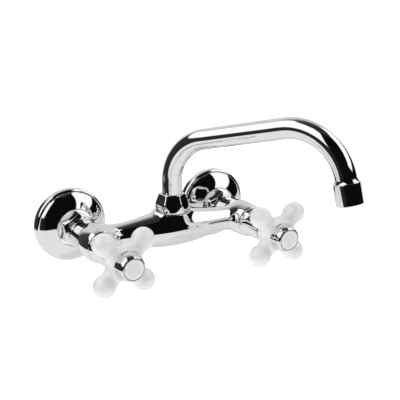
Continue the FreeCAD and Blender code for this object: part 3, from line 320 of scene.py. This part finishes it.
def net_of(field, low, high, step):
    """Quads round the zero of a field: one point in each grid cell that the surface crosses.

    The point is the mean of the crossings on the cell's edges. It is then moved along the
    field's slope onto the surface, and the slope there is its normal. Blends between parts
    of a casting have no two parameters of their own, so they are made this way.
    """
    axes = [np.arange(a, b + step, step) for a, b in zip(low, high)]
    grid = np.stack(np.meshgrid(*axes, indexing="ij"), -1)
    value = field(grid)
    inside = value < 0
    cells = tuple(n - 1 for n in value.shape)
    total, count = np.zeros(cells + (3,)), np.zeros(cells)
    corners = [(i, j, k) for i in (0, 1) for j in (0, 1) for k in (0, 1)]
    for first in corners:
        for axis in range(3):
            if first[axis]:
                continue
            second = tuple(1 if a == axis else first[a] for a in range(3))
            pick_a = tuple(slice(o, o + n) for o, n in zip(first, cells))
            pick_b = tuple(slice(o, o + n) for o, n in zip(second, cells))
            crossed = inside[pick_a] != inside[pick_b]
            fall = np.where(crossed, value[pick_a] - value[pick_b], 1.0)
            share = np.where(crossed, value[pick_a] / fall, 0.0)[..., None]
            point = grid[pick_a] * (1 - share) + grid[pick_b] * share
            total += np.where(crossed[..., None], point, 0.0)
            count += crossed
    used = count > 0
    number = np.full(cells, -1)
    number[used] = np.arange(used.sum())
    points = total[used] / count[used][:, None]
    faces = []
    for axis in range(3):
        ahead = [slice(1, -1)] * 3
        ahead[axis] = slice(0, -1)
        after = list(ahead)
        after[axis] = slice(1, None)
        here, there = inside[tuple(ahead)], inside[tuple(after)]
        place = np.argwhere(here != there) + [0 if a == axis else 1 for a in range(3)]
        out = here[here != there]
        u, v = np.eye(3, dtype=int)[(axis + 1) % 3], np.eye(3, dtype=int)[(axis + 2) % 3]
        ring = [number[tuple((place - shift).T)] for shift in (u + v, v, 0 * u, u)]
        quad = np.stack(ring, -1)
        quad[~out] = quad[~out][:, ::-1]
        faces.append(quad)
    for _ in range(3):
        slope = slope_of(field, points)
        points = points - slope * (field(points) / (slope ** 2).sum(-1))[:, None]
    normals = slope_of(field, points)
    return points, np.concatenate(faces), normals / np.linalg.norm(normals, axis=-1)[:, None]


def slope_of(field, points, reach=0.02):
    """A field's slope at points, from its values a little to each side."""
    steps = np.eye(3) * reach
    return np.stack([field(points + s) - field(points - s) for s in steps], -1) / (2 * reach)


def blend(a, b, width):
    """Two solids as one with a rounded join: the lesser field less a parabola across the join."""
    h = np.clip(0.5 + 0.5 * (b - a) / width, 0.0, 1.0)
    return b + (a - b) * h - width * h * (1 - h)


def cut(a, b, width=0.3):
    """A solid less another, with a slightly rounded edge."""
    return -blend(-a, b, width)


def cylinder(radial, along, radius, low, high):
    """Field of a cylinder between two heights."""
    return np.maximum(radial - radius, np.maximum(low - along, along - high))


def body_field(p):
    """Bridge, two barrels and spout boss as one casting, less its bores."""
    x, y, z = p[..., 0], p[..., 1], p[..., 2]
    sizes = bpy.context.scene.tap_sizes
    across = np.hypot(y + BRIDGE_DEPTH, z - BRIDGE_HEIGHT)
    bridge = np.maximum(across - knot_curve(np.abs(x), BRIDGE_KNOTS), np.abs(x) - HALF_SPACING)
    upright = np.hypot(x, y + BRIDGE_DEPTH)
    boss = cylinder(upright, z, BOSS_RADIUS, BRIDGE_HEIGHT, BOSS_FACE)
    solid = blend(bridge, boss, sizes.boss_blend / MM)
    off_valve, out = np.hypot(np.abs(x) - HALF_SPACING, z - VALVE_HEIGHT), -y
    wall = off_valve - knot_curve(out, BARREL_KNOTS)
    ends = np.maximum(BARREL_ENDS[0] - out, out - BARREL_ENDS[1])
    barrel = -blend(-wall, -ends, BARREL_END_ROUNDING)
    solid = blend(solid, barrel, sizes.barrel_blend / MM)
    facing = cylinder(upright, z, BOSS_RADIUS + FACING_MARGIN, BOSS_FACE,
                      BOSS_FACE + FACING_HEIGHT)
    spigot = cylinder(upright, z, SPIGOT_RADIUS, SPIGOT_FOOT, SPIGOT_FACE)
    solid = np.minimum(cut(solid, facing), spigot)
    back, front = BARREL_ENDS
    for bore in (cylinder(upright, z, SOCKET_RADIUS, SOCKET_FLOOR, SPIGOT_FACE + PAST_A_FACE),
                 cylinder(off_valve, out, CHAMBER_RADIUS, CHAMBER_FLOOR, front + PAST_A_FACE),
                 cylinder(off_valve, out, NIPPLE_SOCKET_RADIUS, back - PAST_A_FACE,
                          NIPPLE_SOCKET_END)):
        solid = np.maximum(solid, -bore)
    return solid


def make_body():
    """The cast body: a net round the zero of its field."""
    mesh = smooth_mesh("tap_body_cast", *net_of(body_field, *BODY_NET))
    add_piece("tap_body_cast", mesh, "faucet", "chrome", "tap_body")


def handle_field(p):
    """Hub and four arms that swell into balls, in a valve's own frame, less the bore.

    The hub's and arms' radii follow their knots. A fold about both diagonals makes one arm four.
    """
    x, y, out = p[..., 0], p[..., 1], p[..., 2]
    radial = np.hypot(x, y)
    ends = np.maximum(HUB_KNOTS[0][0] - out, out - HUB_FRONT)
    hub = -blend(knot_curve(out, HUB_KNOTS) - radial, -ends, HUB_END_ROUNDING)
    u, v = (x + y) / math.sqrt(2), (x - y) / math.sqrt(2)
    along, aside = np.maximum(np.abs(u), np.abs(v)), np.minimum(np.abs(u), np.abs(v))
    off_arm = np.hypot(aside, out - ARM_DEPTH)
    neck = np.maximum(off_arm - knot_curve(along, ARM_KNOTS), along - BALL_REACH)
    ball = np.hypot(along - BALL_REACH, off_arm) - BALL_RADIUS
    arm = blend(neck, ball, BALL_BLEND)
    solid = blend(hub, arm, bpy.context.scene.tap_sizes.arm_blend / MM)
    return np.maximum(solid, HANDLE_BORE - radial)


def make_handles():
    """Both porcelain handles: one net, turned to point out of the wall at each valve."""
    points, faces, normals = net_of(handle_field, *HANDLE_NET)
    for side_name, side in SIDES.items():
        placed = np.stack([points[:, 0] + side * HALF_SPACING, -points[:, 2],
                           points[:, 1] + VALVE_HEIGHT], -1)
        turned = np.stack([normals[:, 0], -normals[:, 2], normals[:, 1]], -1)
        name = f"{side_name}_handle_glazed"
        add_piece(name, smooth_mesh(name, placed, faces, turned), f"{side_name}_handle",
                  "white_porcelain", f"{side_name}_handle")


# ---------------------------------------------------------------- nuts, unions and caps

def ring_section(corners):
    """Section corners as rows, each with a near neighbour on both sides to keep its edge crisp."""
    corners = np.asarray(corners, float)
    after, before = np.roll(corners, -1, 0), np.roll(corners, 1, 0)

    def towards(other):
        way = other - corners
        return corners + way * np.minimum(0.12 / np.maximum(np.hypot(*way.T), 1e-9), 0.4)[:, None]

    return np.stack([towards(before), corners, towards(after)], 1).reshape(-1, 2)


def shell_points(outer_radius, outer_height, inner, angle):
    """Radius and height rows of a ring: a shaped outer wall, then plain rows back inside it."""
    plain = np.broadcast_to(np.asarray(inner)[:, None, :], (len(inner), angle.size, 2))
    radius = np.vstack([outer_radius, plain[..., 0]])
    height = np.vstack([np.broadcast_to(outer_height[:, None], outer_radius.shape), plain[..., 1]])
    return radius, height


def close_rows(low, high, count, edge=0.4):
    """Heights from low to high, crowded near both ends."""
    return np.unique(np.concatenate([np.linspace(low, low + edge, 5), np.linspace(low, high, count),
                                     np.linspace(high - edge, high, 5)]))


def make_union_nuts():
    """Hexagon nuts: the least of a hexagon and a cone at each end, softly joined."""
    nut, sharpness = UNION_NUT, bpy.context.scene.tap_sizes.union_nut_edge
    angle = np.linspace(0, 2 * math.pi, NUT_COLUMNS, endpoint=False)
    height = close_rows(nut["back"], nut["front"], NUT_ROWS)
    tall = height[:, None]
    flats = hexagon(angle, nut["flats"] / 2, sharpness)[None, :]
    front_cone = nut["front_cone"] + (nut["front"] - tall) * nut["cone_rise"]
    back_cone = nut["back_cone"] + (tall - nut["back"]) * nut["cone_rise"]
    wall = soft_least(flats, front_cone, nut["front_softness"])
    wall = soft_least(wall, back_cone, nut["back_softness"])
    inner = ring_section([(nut["lip"], nut["front"]), (nut["mouth"], nut["front"]),
                          (nut["mouth"], nut["shoulder"]), (nut["bore"], nut["shoulder"]),
                          (nut["bore"], nut["back"])])
    radius, rows = shell_points(wall, height, inner, angle)
    faces = shell_faces(*radius.shape)
    for side_name, side in SIDES.items():
        name = f"{side_name}_union_nut_forged"
        points = on_valve(side, radius, angle[None, :], rows)
        add_piece(name, smooth_mesh(name, points, faces), "faucet", "chrome",
                  f"{side_name}_union_nut")


def make_spout_nut():
    """Round foot with six leaning flats: the lesser of a circle and a narrowing hexagon."""
    nut, sharpness = SPOUT_NUT, bpy.context.scene.tap_sizes.spout_nut_edge
    angle = np.linspace(0, 2 * math.pi, NUT_COLUMNS, endpoint=False)
    edge = nut["top_rounding"]
    height = close_rows(nut["foot"], nut["top"], NUT_ROWS, edge)
    lean = (nut["radius"] - nut["top_flats"] / 2) / (nut["top"] - nut["flat_foot"])
    above = np.clip(height - nut["top"] + edge, 0, edge)
    apothem = (nut["radius"] - (height - nut["flat_foot"]) * lean
               - edge + np.sqrt(np.maximum(edge ** 2 - above ** 2, 0)))
    flats = hexagon(angle, 1.0, sharpness, SPOUT_NUT_TURN)[None, :] * apothem[:, None]
    wall = soft_least(flats, np.full_like(flats, nut["radius"]), nut["flat_softness"])
    cone = nut["foot_cone"] + (height[:, None] - nut["foot"]) * nut["cone_rise"]
    wall = soft_least(wall, cone, nut["foot_softness"])
    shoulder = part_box("spout_slip_ring")[1][2] / MM - VALVE_HEIGHT
    inner = ring_section([(nut["hole"], nut["top"]), (nut["hole"], shoulder),
                          (nut["bore"], shoulder), (nut["bore"], nut["foot"])])
    radius, rows = shell_points(wall, height, inner, angle)
    points = np.stack([radius * np.cos(angle), radius * np.sin(angle) - BRIDGE_DEPTH,
                       rows + VALVE_HEIGHT], -1)
    name = "spout_nut_forged"
    add_piece(name, smooth_mesh(name, points, shell_faces(*radius.shape)), "faucet", "chrome",
              "spout_nut")


def make_wall_unions():
    """Eccentric unions: a screw thread as a rounded wave along a helix, then a skewed neck."""
    angle = np.linspace(0, 2 * math.pi, 120, endpoint=False)
    stub = np.arange(STUB_END, STUB_ROOT, THREAD_STEP)
    turns = stub[:, None] / THREAD_PITCH - angle[None, :] / (2 * math.pi)
    fade = np.clip((STUB_ROOT - THREAD_FADE - stub) / THREAD_FADE, 0, 1)[:, None]
    wave = (0.5 - 0.5 * np.cos(2 * math.pi * turns)) ** THREAD_ROUNDNESS
    start = THREAD_START_RADIUS + stub[:, None] - STUB_END
    thread = soft_least(STUB_RADIUS - THREAD_DEPTH * wave * fade, start, 0.1)
    plain = np.array([(STUB_ROOT, STUB_RADIUS), (STUB_ROOT + 0.1, STUB_RADIUS + 0.04),
                      (NECK_END - 0.1, NECK_RADIUS - 0.04), (NECK_END, NECK_RADIUS),
                      (UNION_END - NECK_CHAMFER, NECK_RADIUS),
                      (UNION_END, NECK_RADIUS - NECK_CHAMFER),
                      (UNION_END, UNION_MOUTH), (NECK_END, UNION_MOUTH), (STUB_ROOT, UNION_BORE),
                      (STUB_END, UNION_BORE)])
    rows = np.vstack([np.broadcast_to(stub[:, None], thread.shape),
                      np.broadcast_to(plain[:, :1], (len(plain), angle.size))])
    radius = np.vstack([thread, np.broadcast_to(plain[:, 1:], (len(plain), angle.size))])
    shift = np.interp(rows, (STUB_ROOT, NECK_END), (-VALVE_HEIGHT, 0.0))
    for side_name, side in SIDES.items():
        points = on_valve(side, radius, angle[None, :], rows)
        points[..., 2] += shift
        name = f"{side_name}_wall_union_threaded"
        add_piece(name, smooth_mesh(name, points, shell_faces(*radius.shape)), "faucet", "chrome",
                  f"{side_name}_wall_union")


def make_caps():
    """Chrome cap, enamel disc and a dark ring on the disc's rim, which is painted shade for the
    groove round it: sections turned about the valve axis.

    The cap's side is a quarter of an ellipse, from the step at its foot to the disc's rim.
    """
    angle = np.linspace(0, 2 * math.pi, 160, endpoint=False)
    rounding = bpy.context.scene.tap_sizes.cap_rounding / MM
    rim, turn = DISC_RADIUS + RIM_WIDTH, np.linspace(0, math.pi / 2, 24)
    side_wall = np.stack([rim + (CAP_RADIUS - rim) * np.cos(turn),
                          CAP_END - rounding * (1 - np.sin(turn))], -1)
    foot, floor = HUB_FRONT + CAP_STEP, CAP_END - DISC_RECESS
    step = [(CAP_STEP_RADIUS, HUB_FRONT), (CAP_STEP_RADIUS, foot), (CAP_RADIUS, foot + 0.01)]
    seat = DISC_RADIUS + DISC_GAP
    inside = [(seat, CAP_END), (seat, floor), (CAP_BORE, floor), (CAP_BORE, CAP_BACK),
              (CAP_SKIRT_BORE, CAP_BACK), (CAP_SKIRT_BORE, HUB_FRONT)]
    section = np.vstack([ring_section(step)[:-1], side_wall, ring_section(inside)])
    border_top = floor + DISC_THICKNESS - BORDER_SINK
    within, below = DISC_RADIUS - BORDER_WIDTH, border_top - BORDER_DEPTH
    # A thin black ring on the disc's rim: painted shade for the groove between disc and cap.
    painted_shade_ring = ring_section([(within, below), (DISC_RADIUS, below), (DISC_RADIUS, border_top),
                           (within, border_top)])
    disc = np.array([(0.0, floor), (DISC_RADIUS - 0.1, floor), (DISC_RADIUS, floor + 0.1),
                     (DISC_RADIUS, border_top - 0.12), (DISC_RADIUS - 0.05, border_top - 0.06),
                     *((reach, border_top - fall) for reach, fall in DISC_CROWN),
                     (0.0, border_top)])
    for side_name, side in SIDES.items():
        body = f"{side_name}_handle"
        # The second piece is the black ring of painted shade round the disc.
        for name, rows, slot, replaced, material in (
                (f"{side_name}_cap_turned", section, "chrome", f"{side_name}_handle_cap", None),
                (f"{side_name}_index_ring_painted_shade", painted_shade_ring, "white_enamel", None, "painted_shade_ring")):
            points = on_valve(side, rows[:, :1], angle[None, :], rows[:, 1:])
            add_piece(name, smooth_mesh(name, points, shell_faces(len(rows), angle.size)), body,
                      slot, replaced, material)
        name = f"{side_name}_index_enamel"
        add_piece(name, turned_solid(name, disc, side, angle), body, "white_enamel",
                  f"{side_name}_index_disc")


def turned_solid(name, section, side, angle):
    """A solid of revolution whose section starts and ends on the axis: quads and two fans."""
    walls = section[1:-1]
    points = on_valve(side, walls[:, :1], angle[None, :], walls[:, 1:]).reshape(-1, 3)
    poles = on_valve(side, np.zeros(2), np.zeros(2), section[[0, -1], 1])
    index = np.arange(len(points)).reshape(len(walls), -1)
    along = np.roll(index, -1, 1)
    quads = np.stack([index[:-1], along[:-1], along[1:], index[1:]], -1).reshape(-1, 4)
    low, high = len(points), len(points) + 1
    fans = [(low, b, a) for a, b in zip(index[0].tolist(), along[0].tolist())]
    fans += [(high, a, b) for a, b in zip(index[-1].tolist(), along[-1].tolist())]
    mesh = bpy.data.meshes.new(name)
    mesh.from_pydata(np.vstack([points, poles]) * MM, [], quads.tolist() + fans)
    mesh.shade_smooth()
    return mesh


# ---------------------------------------------------------------- studio

def camera_turn():
    """Rows right, up and back of the photograph's camera: yaw, pitch, then roll."""
    yaw, pitch, roll = CAMERA_YAW, CAMERA_PITCH, CAMERA_ROLL
    forward = np.array([math.sin(yaw) * math.cos(pitch), math.cos(yaw) * math.cos(pitch),
                        math.sin(pitch)])
    right = np.array([math.cos(yaw), -math.sin(yaw), 0.0])
    up = np.cross(right, forward)
    level_right = right * math.cos(roll) + up * math.sin(roll)
    level_up = up * math.cos(roll) - right * math.sin(roll)
    return np.array([level_right, level_up, -forward])


def make_camera():
    """The photograph's camera as a scene camera."""
    data = bpy.data.cameras.new("camera")
    data.lens = CAMERA_LENS
    data.sensor_width = 36.0
    data.clip_start = 0.01
    data.clip_end = 50.0
    camera = bpy.data.objects.new("camera", data)
    bpy.context.scene.collection.objects.link(camera)
    turn = Matrix([list(row) for row in camera_turn().T]).to_4x4()
    camera.matrix_world = Matrix.Translation([v * MM for v in CAMERA_PLACE]) @ turn
    bpy.context.scene.camera = camera


def staged(name, points, faces, material):
    """A floor or card of the studio, in metres."""
    mesh = bpy.data.meshes.new(name)
    mesh.from_pydata(points, [], faces)
    mesh.materials.append(material)
    obj = bpy.data.objects.new(name, mesh)
    bpy.context.scene.collection.objects.link(obj)
    return obj


def rise(value, edge, width):
    """A smooth step from 0 to 1 as a value passes an edge: 3t squared less 2t cubed."""
    t = np.clip((value - edge) / width + 0.5, 0.0, 1.0)
    return t * t * (3.0 - 2.0 * t)


def inside_panel(azimuth, elevation, corners, blur):
    """1 inside a convex panel given anticlockwise, 0 outside: the least distance to its sides."""
    least = np.full(azimuth.shape, 1e9)
    for (x0, y0), (x1, y1) in zip(corners, corners[1:] + corners[:1]):
        length = math.hypot(x1 - x0, y1 - y0)
        side = ((x1 - x0) * (elevation - y0) - (y1 - y0) * (azimuth - x0)) / length
        least = np.minimum(least, side)
    return rise(least, 0.0, blur)


def studio_glow(azimuth, elevation):
    """Brightness that shiny things see: floor, dark front, grey back and two soft boxes."""
    back = np.interp(elevation, *BACK_LEVELS)
    front = np.interp(azimuth, *FRONT_LEVELS)
    front = np.where(elevation > ZENITH, np.maximum(front, ZENITH_LEVEL), front)
    left, right = FRONT_SIDES
    ahead = rise(azimuth, left, FRONT_BLUR) * rise(-azimuth, -right, FRONT_BLUR)
    wall = back + (front - back) * ahead
    horizon = np.interp(azimuth, *HORIZON_LINE)
    floor = np.interp(azimuth, *FLOOR_LEVELS)
    glow = floor + (wall - floor) * rise(elevation, horizon, HORIZON_BLUR)
    for corners, blur, strength in SOFT_BOXES:
        glow += (strength - glow) * inside_panel(azimuth, elevation, corners, blur)
    return glow


def make_surround():
    """A sphere round the studio, a grid of azimuth and elevation, that lights and is mirrored.

    Mirrors see the panels as they are. Matt things get an even light as well, which keeps the
    porcelain's shadows soft.
    """
    material, tree, output = new_material("surround_lit_panels")
    glow = add_node(tree, "ShaderNodeAttribute", {"attribute_name": "glow"})
    path = add_node(tree, "ShaderNodeLightPath")
    even = add_node(tree, "ShaderNodeMix", {"data_type": "RGBA"})
    tree.links.new(path.outputs["Is Diffuse Ray"], even.inputs["Factor"])
    tree.links.new(glow.outputs["Color"], even.inputs["A"])
    soft = add_node(tree, "ShaderNodeVectorMath", {"operation": "MULTIPLY_ADD"},
                    links={0: glow.outputs["Color"]})
    soft.inputs[1].default_value = (PANEL_SHARE,) * 3
    soft.inputs[2].default_value = (EVEN_LIGHT,) * 3
    tree.links.new(soft.outputs["Vector"], even.inputs["B"])
    light = add_node(tree, "ShaderNodeEmission", inputs={"Strength": 1.0},
                     links={"Color": even.outputs["Result"]})
    tree.links.new(light.outputs["Emission"], output.inputs["Surface"])
    around, upward = SURROUND_GRID
    azimuth, elevation = np.meshgrid(np.linspace(-180, 180, around), np.linspace(-90, 90, upward))
    az, el = np.radians(azimuth), np.radians(elevation)
    points = np.stack([np.sin(az) * np.cos(el), -np.cos(az) * np.cos(el), np.sin(el)], -1)
    index = np.arange(azimuth.size).reshape(azimuth.shape)
    faces = np.stack([index[:-1, :-1], index[1:, :-1], index[1:, 1:], index[:-1, 1:]], -1)
    obj = staged("surround", (points * SURROUND_RADIUS).reshape(-1, 3),
                 faces.reshape(-1, 4).tolist(), material)
    shade = obj.data.attributes.new("glow", "FLOAT_COLOR", "POINT")
    values = studio_glow(azimuth, elevation).reshape(-1, 1)
    shade.data.foreach_set("color", np.hstack([np.repeat(values, 3, 1),
                                               np.ones_like(values)]).ravel())
    obj.visible_camera = False
    obj.visible_shadow = False
    obj.visible_transmission = False


def make_floor():
    """A wide white floor that keeps the tap's shadow."""
    material, tree, output = new_material("floor_white_paint")
    matt = add_node(tree, "ShaderNodeBsdfDiffuse", inputs={"Color": linear("#E0E0E0")})
    path = add_node(tree, "ShaderNodeLightPath")
    glow = add_node(tree, "ShaderNodeEmission", inputs={"Color": linear("#FFFFFF")})
    lift = ranged(tree, path.outputs["Is Camera Ray"], 0.0, FLOOR_LIFT)
    tree.links.new(lift.outputs["Result"], glow.inputs["Strength"])
    both = add_node(tree, "ShaderNodeAddShader", links={0: matt.outputs["BSDF"],
                                                        1: glow.outputs["Emission"]})
    tree.links.new(both.outputs["Shader"], output.inputs["Surface"])
    low, side = FLOOR_HEIGHT, FLOOR_REACH
    floor = staged("floor", [(-side, -side, low), (side, -side, low), (side, side, low),
                             (-side, side, low)], [(0, 1, 2, 3)], material)
    floor.visible_glossy = False
    floor.visible_diffuse = False


def make_world():
    """Plain white beyond the floor."""
    world = bpy.data.worlds.new("studio")
    bpy.context.scene.world = world
    world.use_nodes = True
    tree = world.node_tree
    tree.nodes.clear()
    light = add_node(tree, "ShaderNodeBackground", inputs={"Color": linear("#FFFFFF"),
                                                           "Strength": 1.0})
    output = add_node(tree, "ShaderNodeOutputWorld")
    tree.links.new(light.outputs["Background"], output.inputs["Surface"])


# ---------------------------------------------------------------- add-on

class TapSizes(bpy.types.PropertyGroup):
    """Sizes that a user would change."""
    barrel_blend: FloatProperty(
        name="Barrel blend", description="Width of the blend between bridge and barrels",
        default=0.006, min=0.0005, subtype="DISTANCE", unit="LENGTH")
    boss_blend: FloatProperty(
        name="Boss blend", description="Width of the blend under the spout nut",
        default=0.008, min=0.0005, subtype="DISTANCE", unit="LENGTH")
    arm_blend: FloatProperty(
        name="Arm blend", description="Width of the blend between hub and arms",
        default=0.006, min=0.0005, subtype="DISTANCE", unit="LENGTH")
    union_nut_edge: FloatProperty(
        name="Union nut edge", description="Sharpness of the union nuts' corners",
        default=44.0, min=8.0)
    spout_nut_edge: FloatProperty(
        name="Spout nut edge", description="Sharpness of the spout nut's corners",
        default=26.0, min=8.0)
    cap_rounding: FloatProperty(
        name="Cap rounding", description="Height of the caps' domed side",
        default=0.0095, min=0.001, subtype="DISTANCE", unit="LENGTH")


class TapColours(bpy.types.PropertyGroup):
    """Colours that a user would change."""
    porcelain: FloatVectorProperty(name="Porcelain", description="Colour of the handles' glaze",
                                   subtype="COLOR", size=4, default=linear("#F6F6F5"))
    chrome: FloatVectorProperty(name="Chrome", description="Colour of the plated parts",
                                subtype="COLOR", size=4, default=linear("#ECECEC"))
    enamel: FloatVectorProperty(name="Index discs", description="Colour of the discs on the caps",
                                subtype="COLOR", size=4, default=linear("#F8F8F8"))


class TAP_OT_finishes(bpy.types.Operator):
    """Make every finish and give each carried-over solid its own."""
    bl_idname = "tap.finishes"
    bl_label = "Finishes"

    def execute(self, context):
        make_materials(context.scene.tap_colours)
        dress_nodes()
        return {"FINISHED"}


class TAP_OT_body(bpy.types.Operator):
    """Make the cast body with its blended barrels and spout boss."""
    bl_idname = "tap.body"
    bl_label = "Body"

    def execute(self, context):
        make_body()
        return {"FINISHED"}


class TAP_OT_nuts(bpy.types.Operator):
    """Make the two union nuts and the spout nut with their rounded corners."""
    bl_idname = "tap.nuts"
    bl_label = "Nuts"

    def execute(self, context):
        make_union_nuts()
        make_spout_nut()
        return {"FINISHED"}


class TAP_OT_unions(bpy.types.Operator):
    """Make the threaded wall unions."""
    bl_idname = "tap.unions"
    bl_label = "Wall unions"

    def execute(self, context):
        make_wall_unions()
        return {"FINISHED"}


class TAP_OT_handles(bpy.types.Operator):
    """Make the two glazed cross handles."""
    bl_idname = "tap.handles"
    bl_label = "Handles"

    def execute(self, context):
        make_handles()
        return {"FINISHED"}


class TAP_OT_caps(bpy.types.Operator):
    """Make the caps with their plain index discs and the dark rings of painted shade round them."""
    bl_idname = "tap.caps"
    bl_label = "Caps"

    def execute(self, context):
        make_caps()
        return {"FINISHED"}


class TAP_OT_studio(bpy.types.Operator):
    """Make the camera, the floor, the world and the lit surround."""
    bl_idname = "tap.studio"
    bl_label = "Studio"

    def execute(self, context):
        make_camera()
        make_floor()
        make_world()
        make_surround()
        return {"FINISHED"}


OPERATORS = (TAP_OT_finishes, TAP_OT_body, TAP_OT_nuts, TAP_OT_unions, TAP_OT_handles,
             TAP_OT_caps, TAP_OT_studio)


class TAP_PT_panel(bpy.types.Panel):
    """Lists the sizes, colours and steps that dress the tap."""
    bl_idname = "TAP_PT_panel"
    bl_label = "Wall tap"
    bl_space_type = "VIEW_3D"
    bl_region_type = "UI"
    bl_category = "Tap"

    def draw(self, context):
        for group in (context.scene.tap_sizes, context.scene.tap_colours):
            for name in group.bl_rna.properties.keys():
                if name not in ("rna_type", "name"):
                    self.layout.prop(group, name)
        for operator in OPERATORS:
            self.layout.operator(operator.bl_idname)


CLASSES = (TapSizes, TapColours, *OPERATORS, TAP_PT_panel)


def register():
    for item in CLASSES:
        bpy.utils.register_class(item)
    bpy.types.Scene.tap_sizes = PointerProperty(type=TapSizes)
    bpy.types.Scene.tap_colours = PointerProperty(type=TapColours)


def unregister():
    del bpy.types.Scene.tap_colours
    del bpy.types.Scene.tap_sizes
    for item in reversed(CLASSES):
        bpy.utils.unregister_class(item)


def main():
    register()
    bpy.context.scene.view_settings.view_transform = "Standard"
    for operator in OPERATORS:
        group, name = operator.bl_idname.split(".")
        getattr(getattr(bpy.ops, group), name)()


if __name__ == "__main__":
    main()
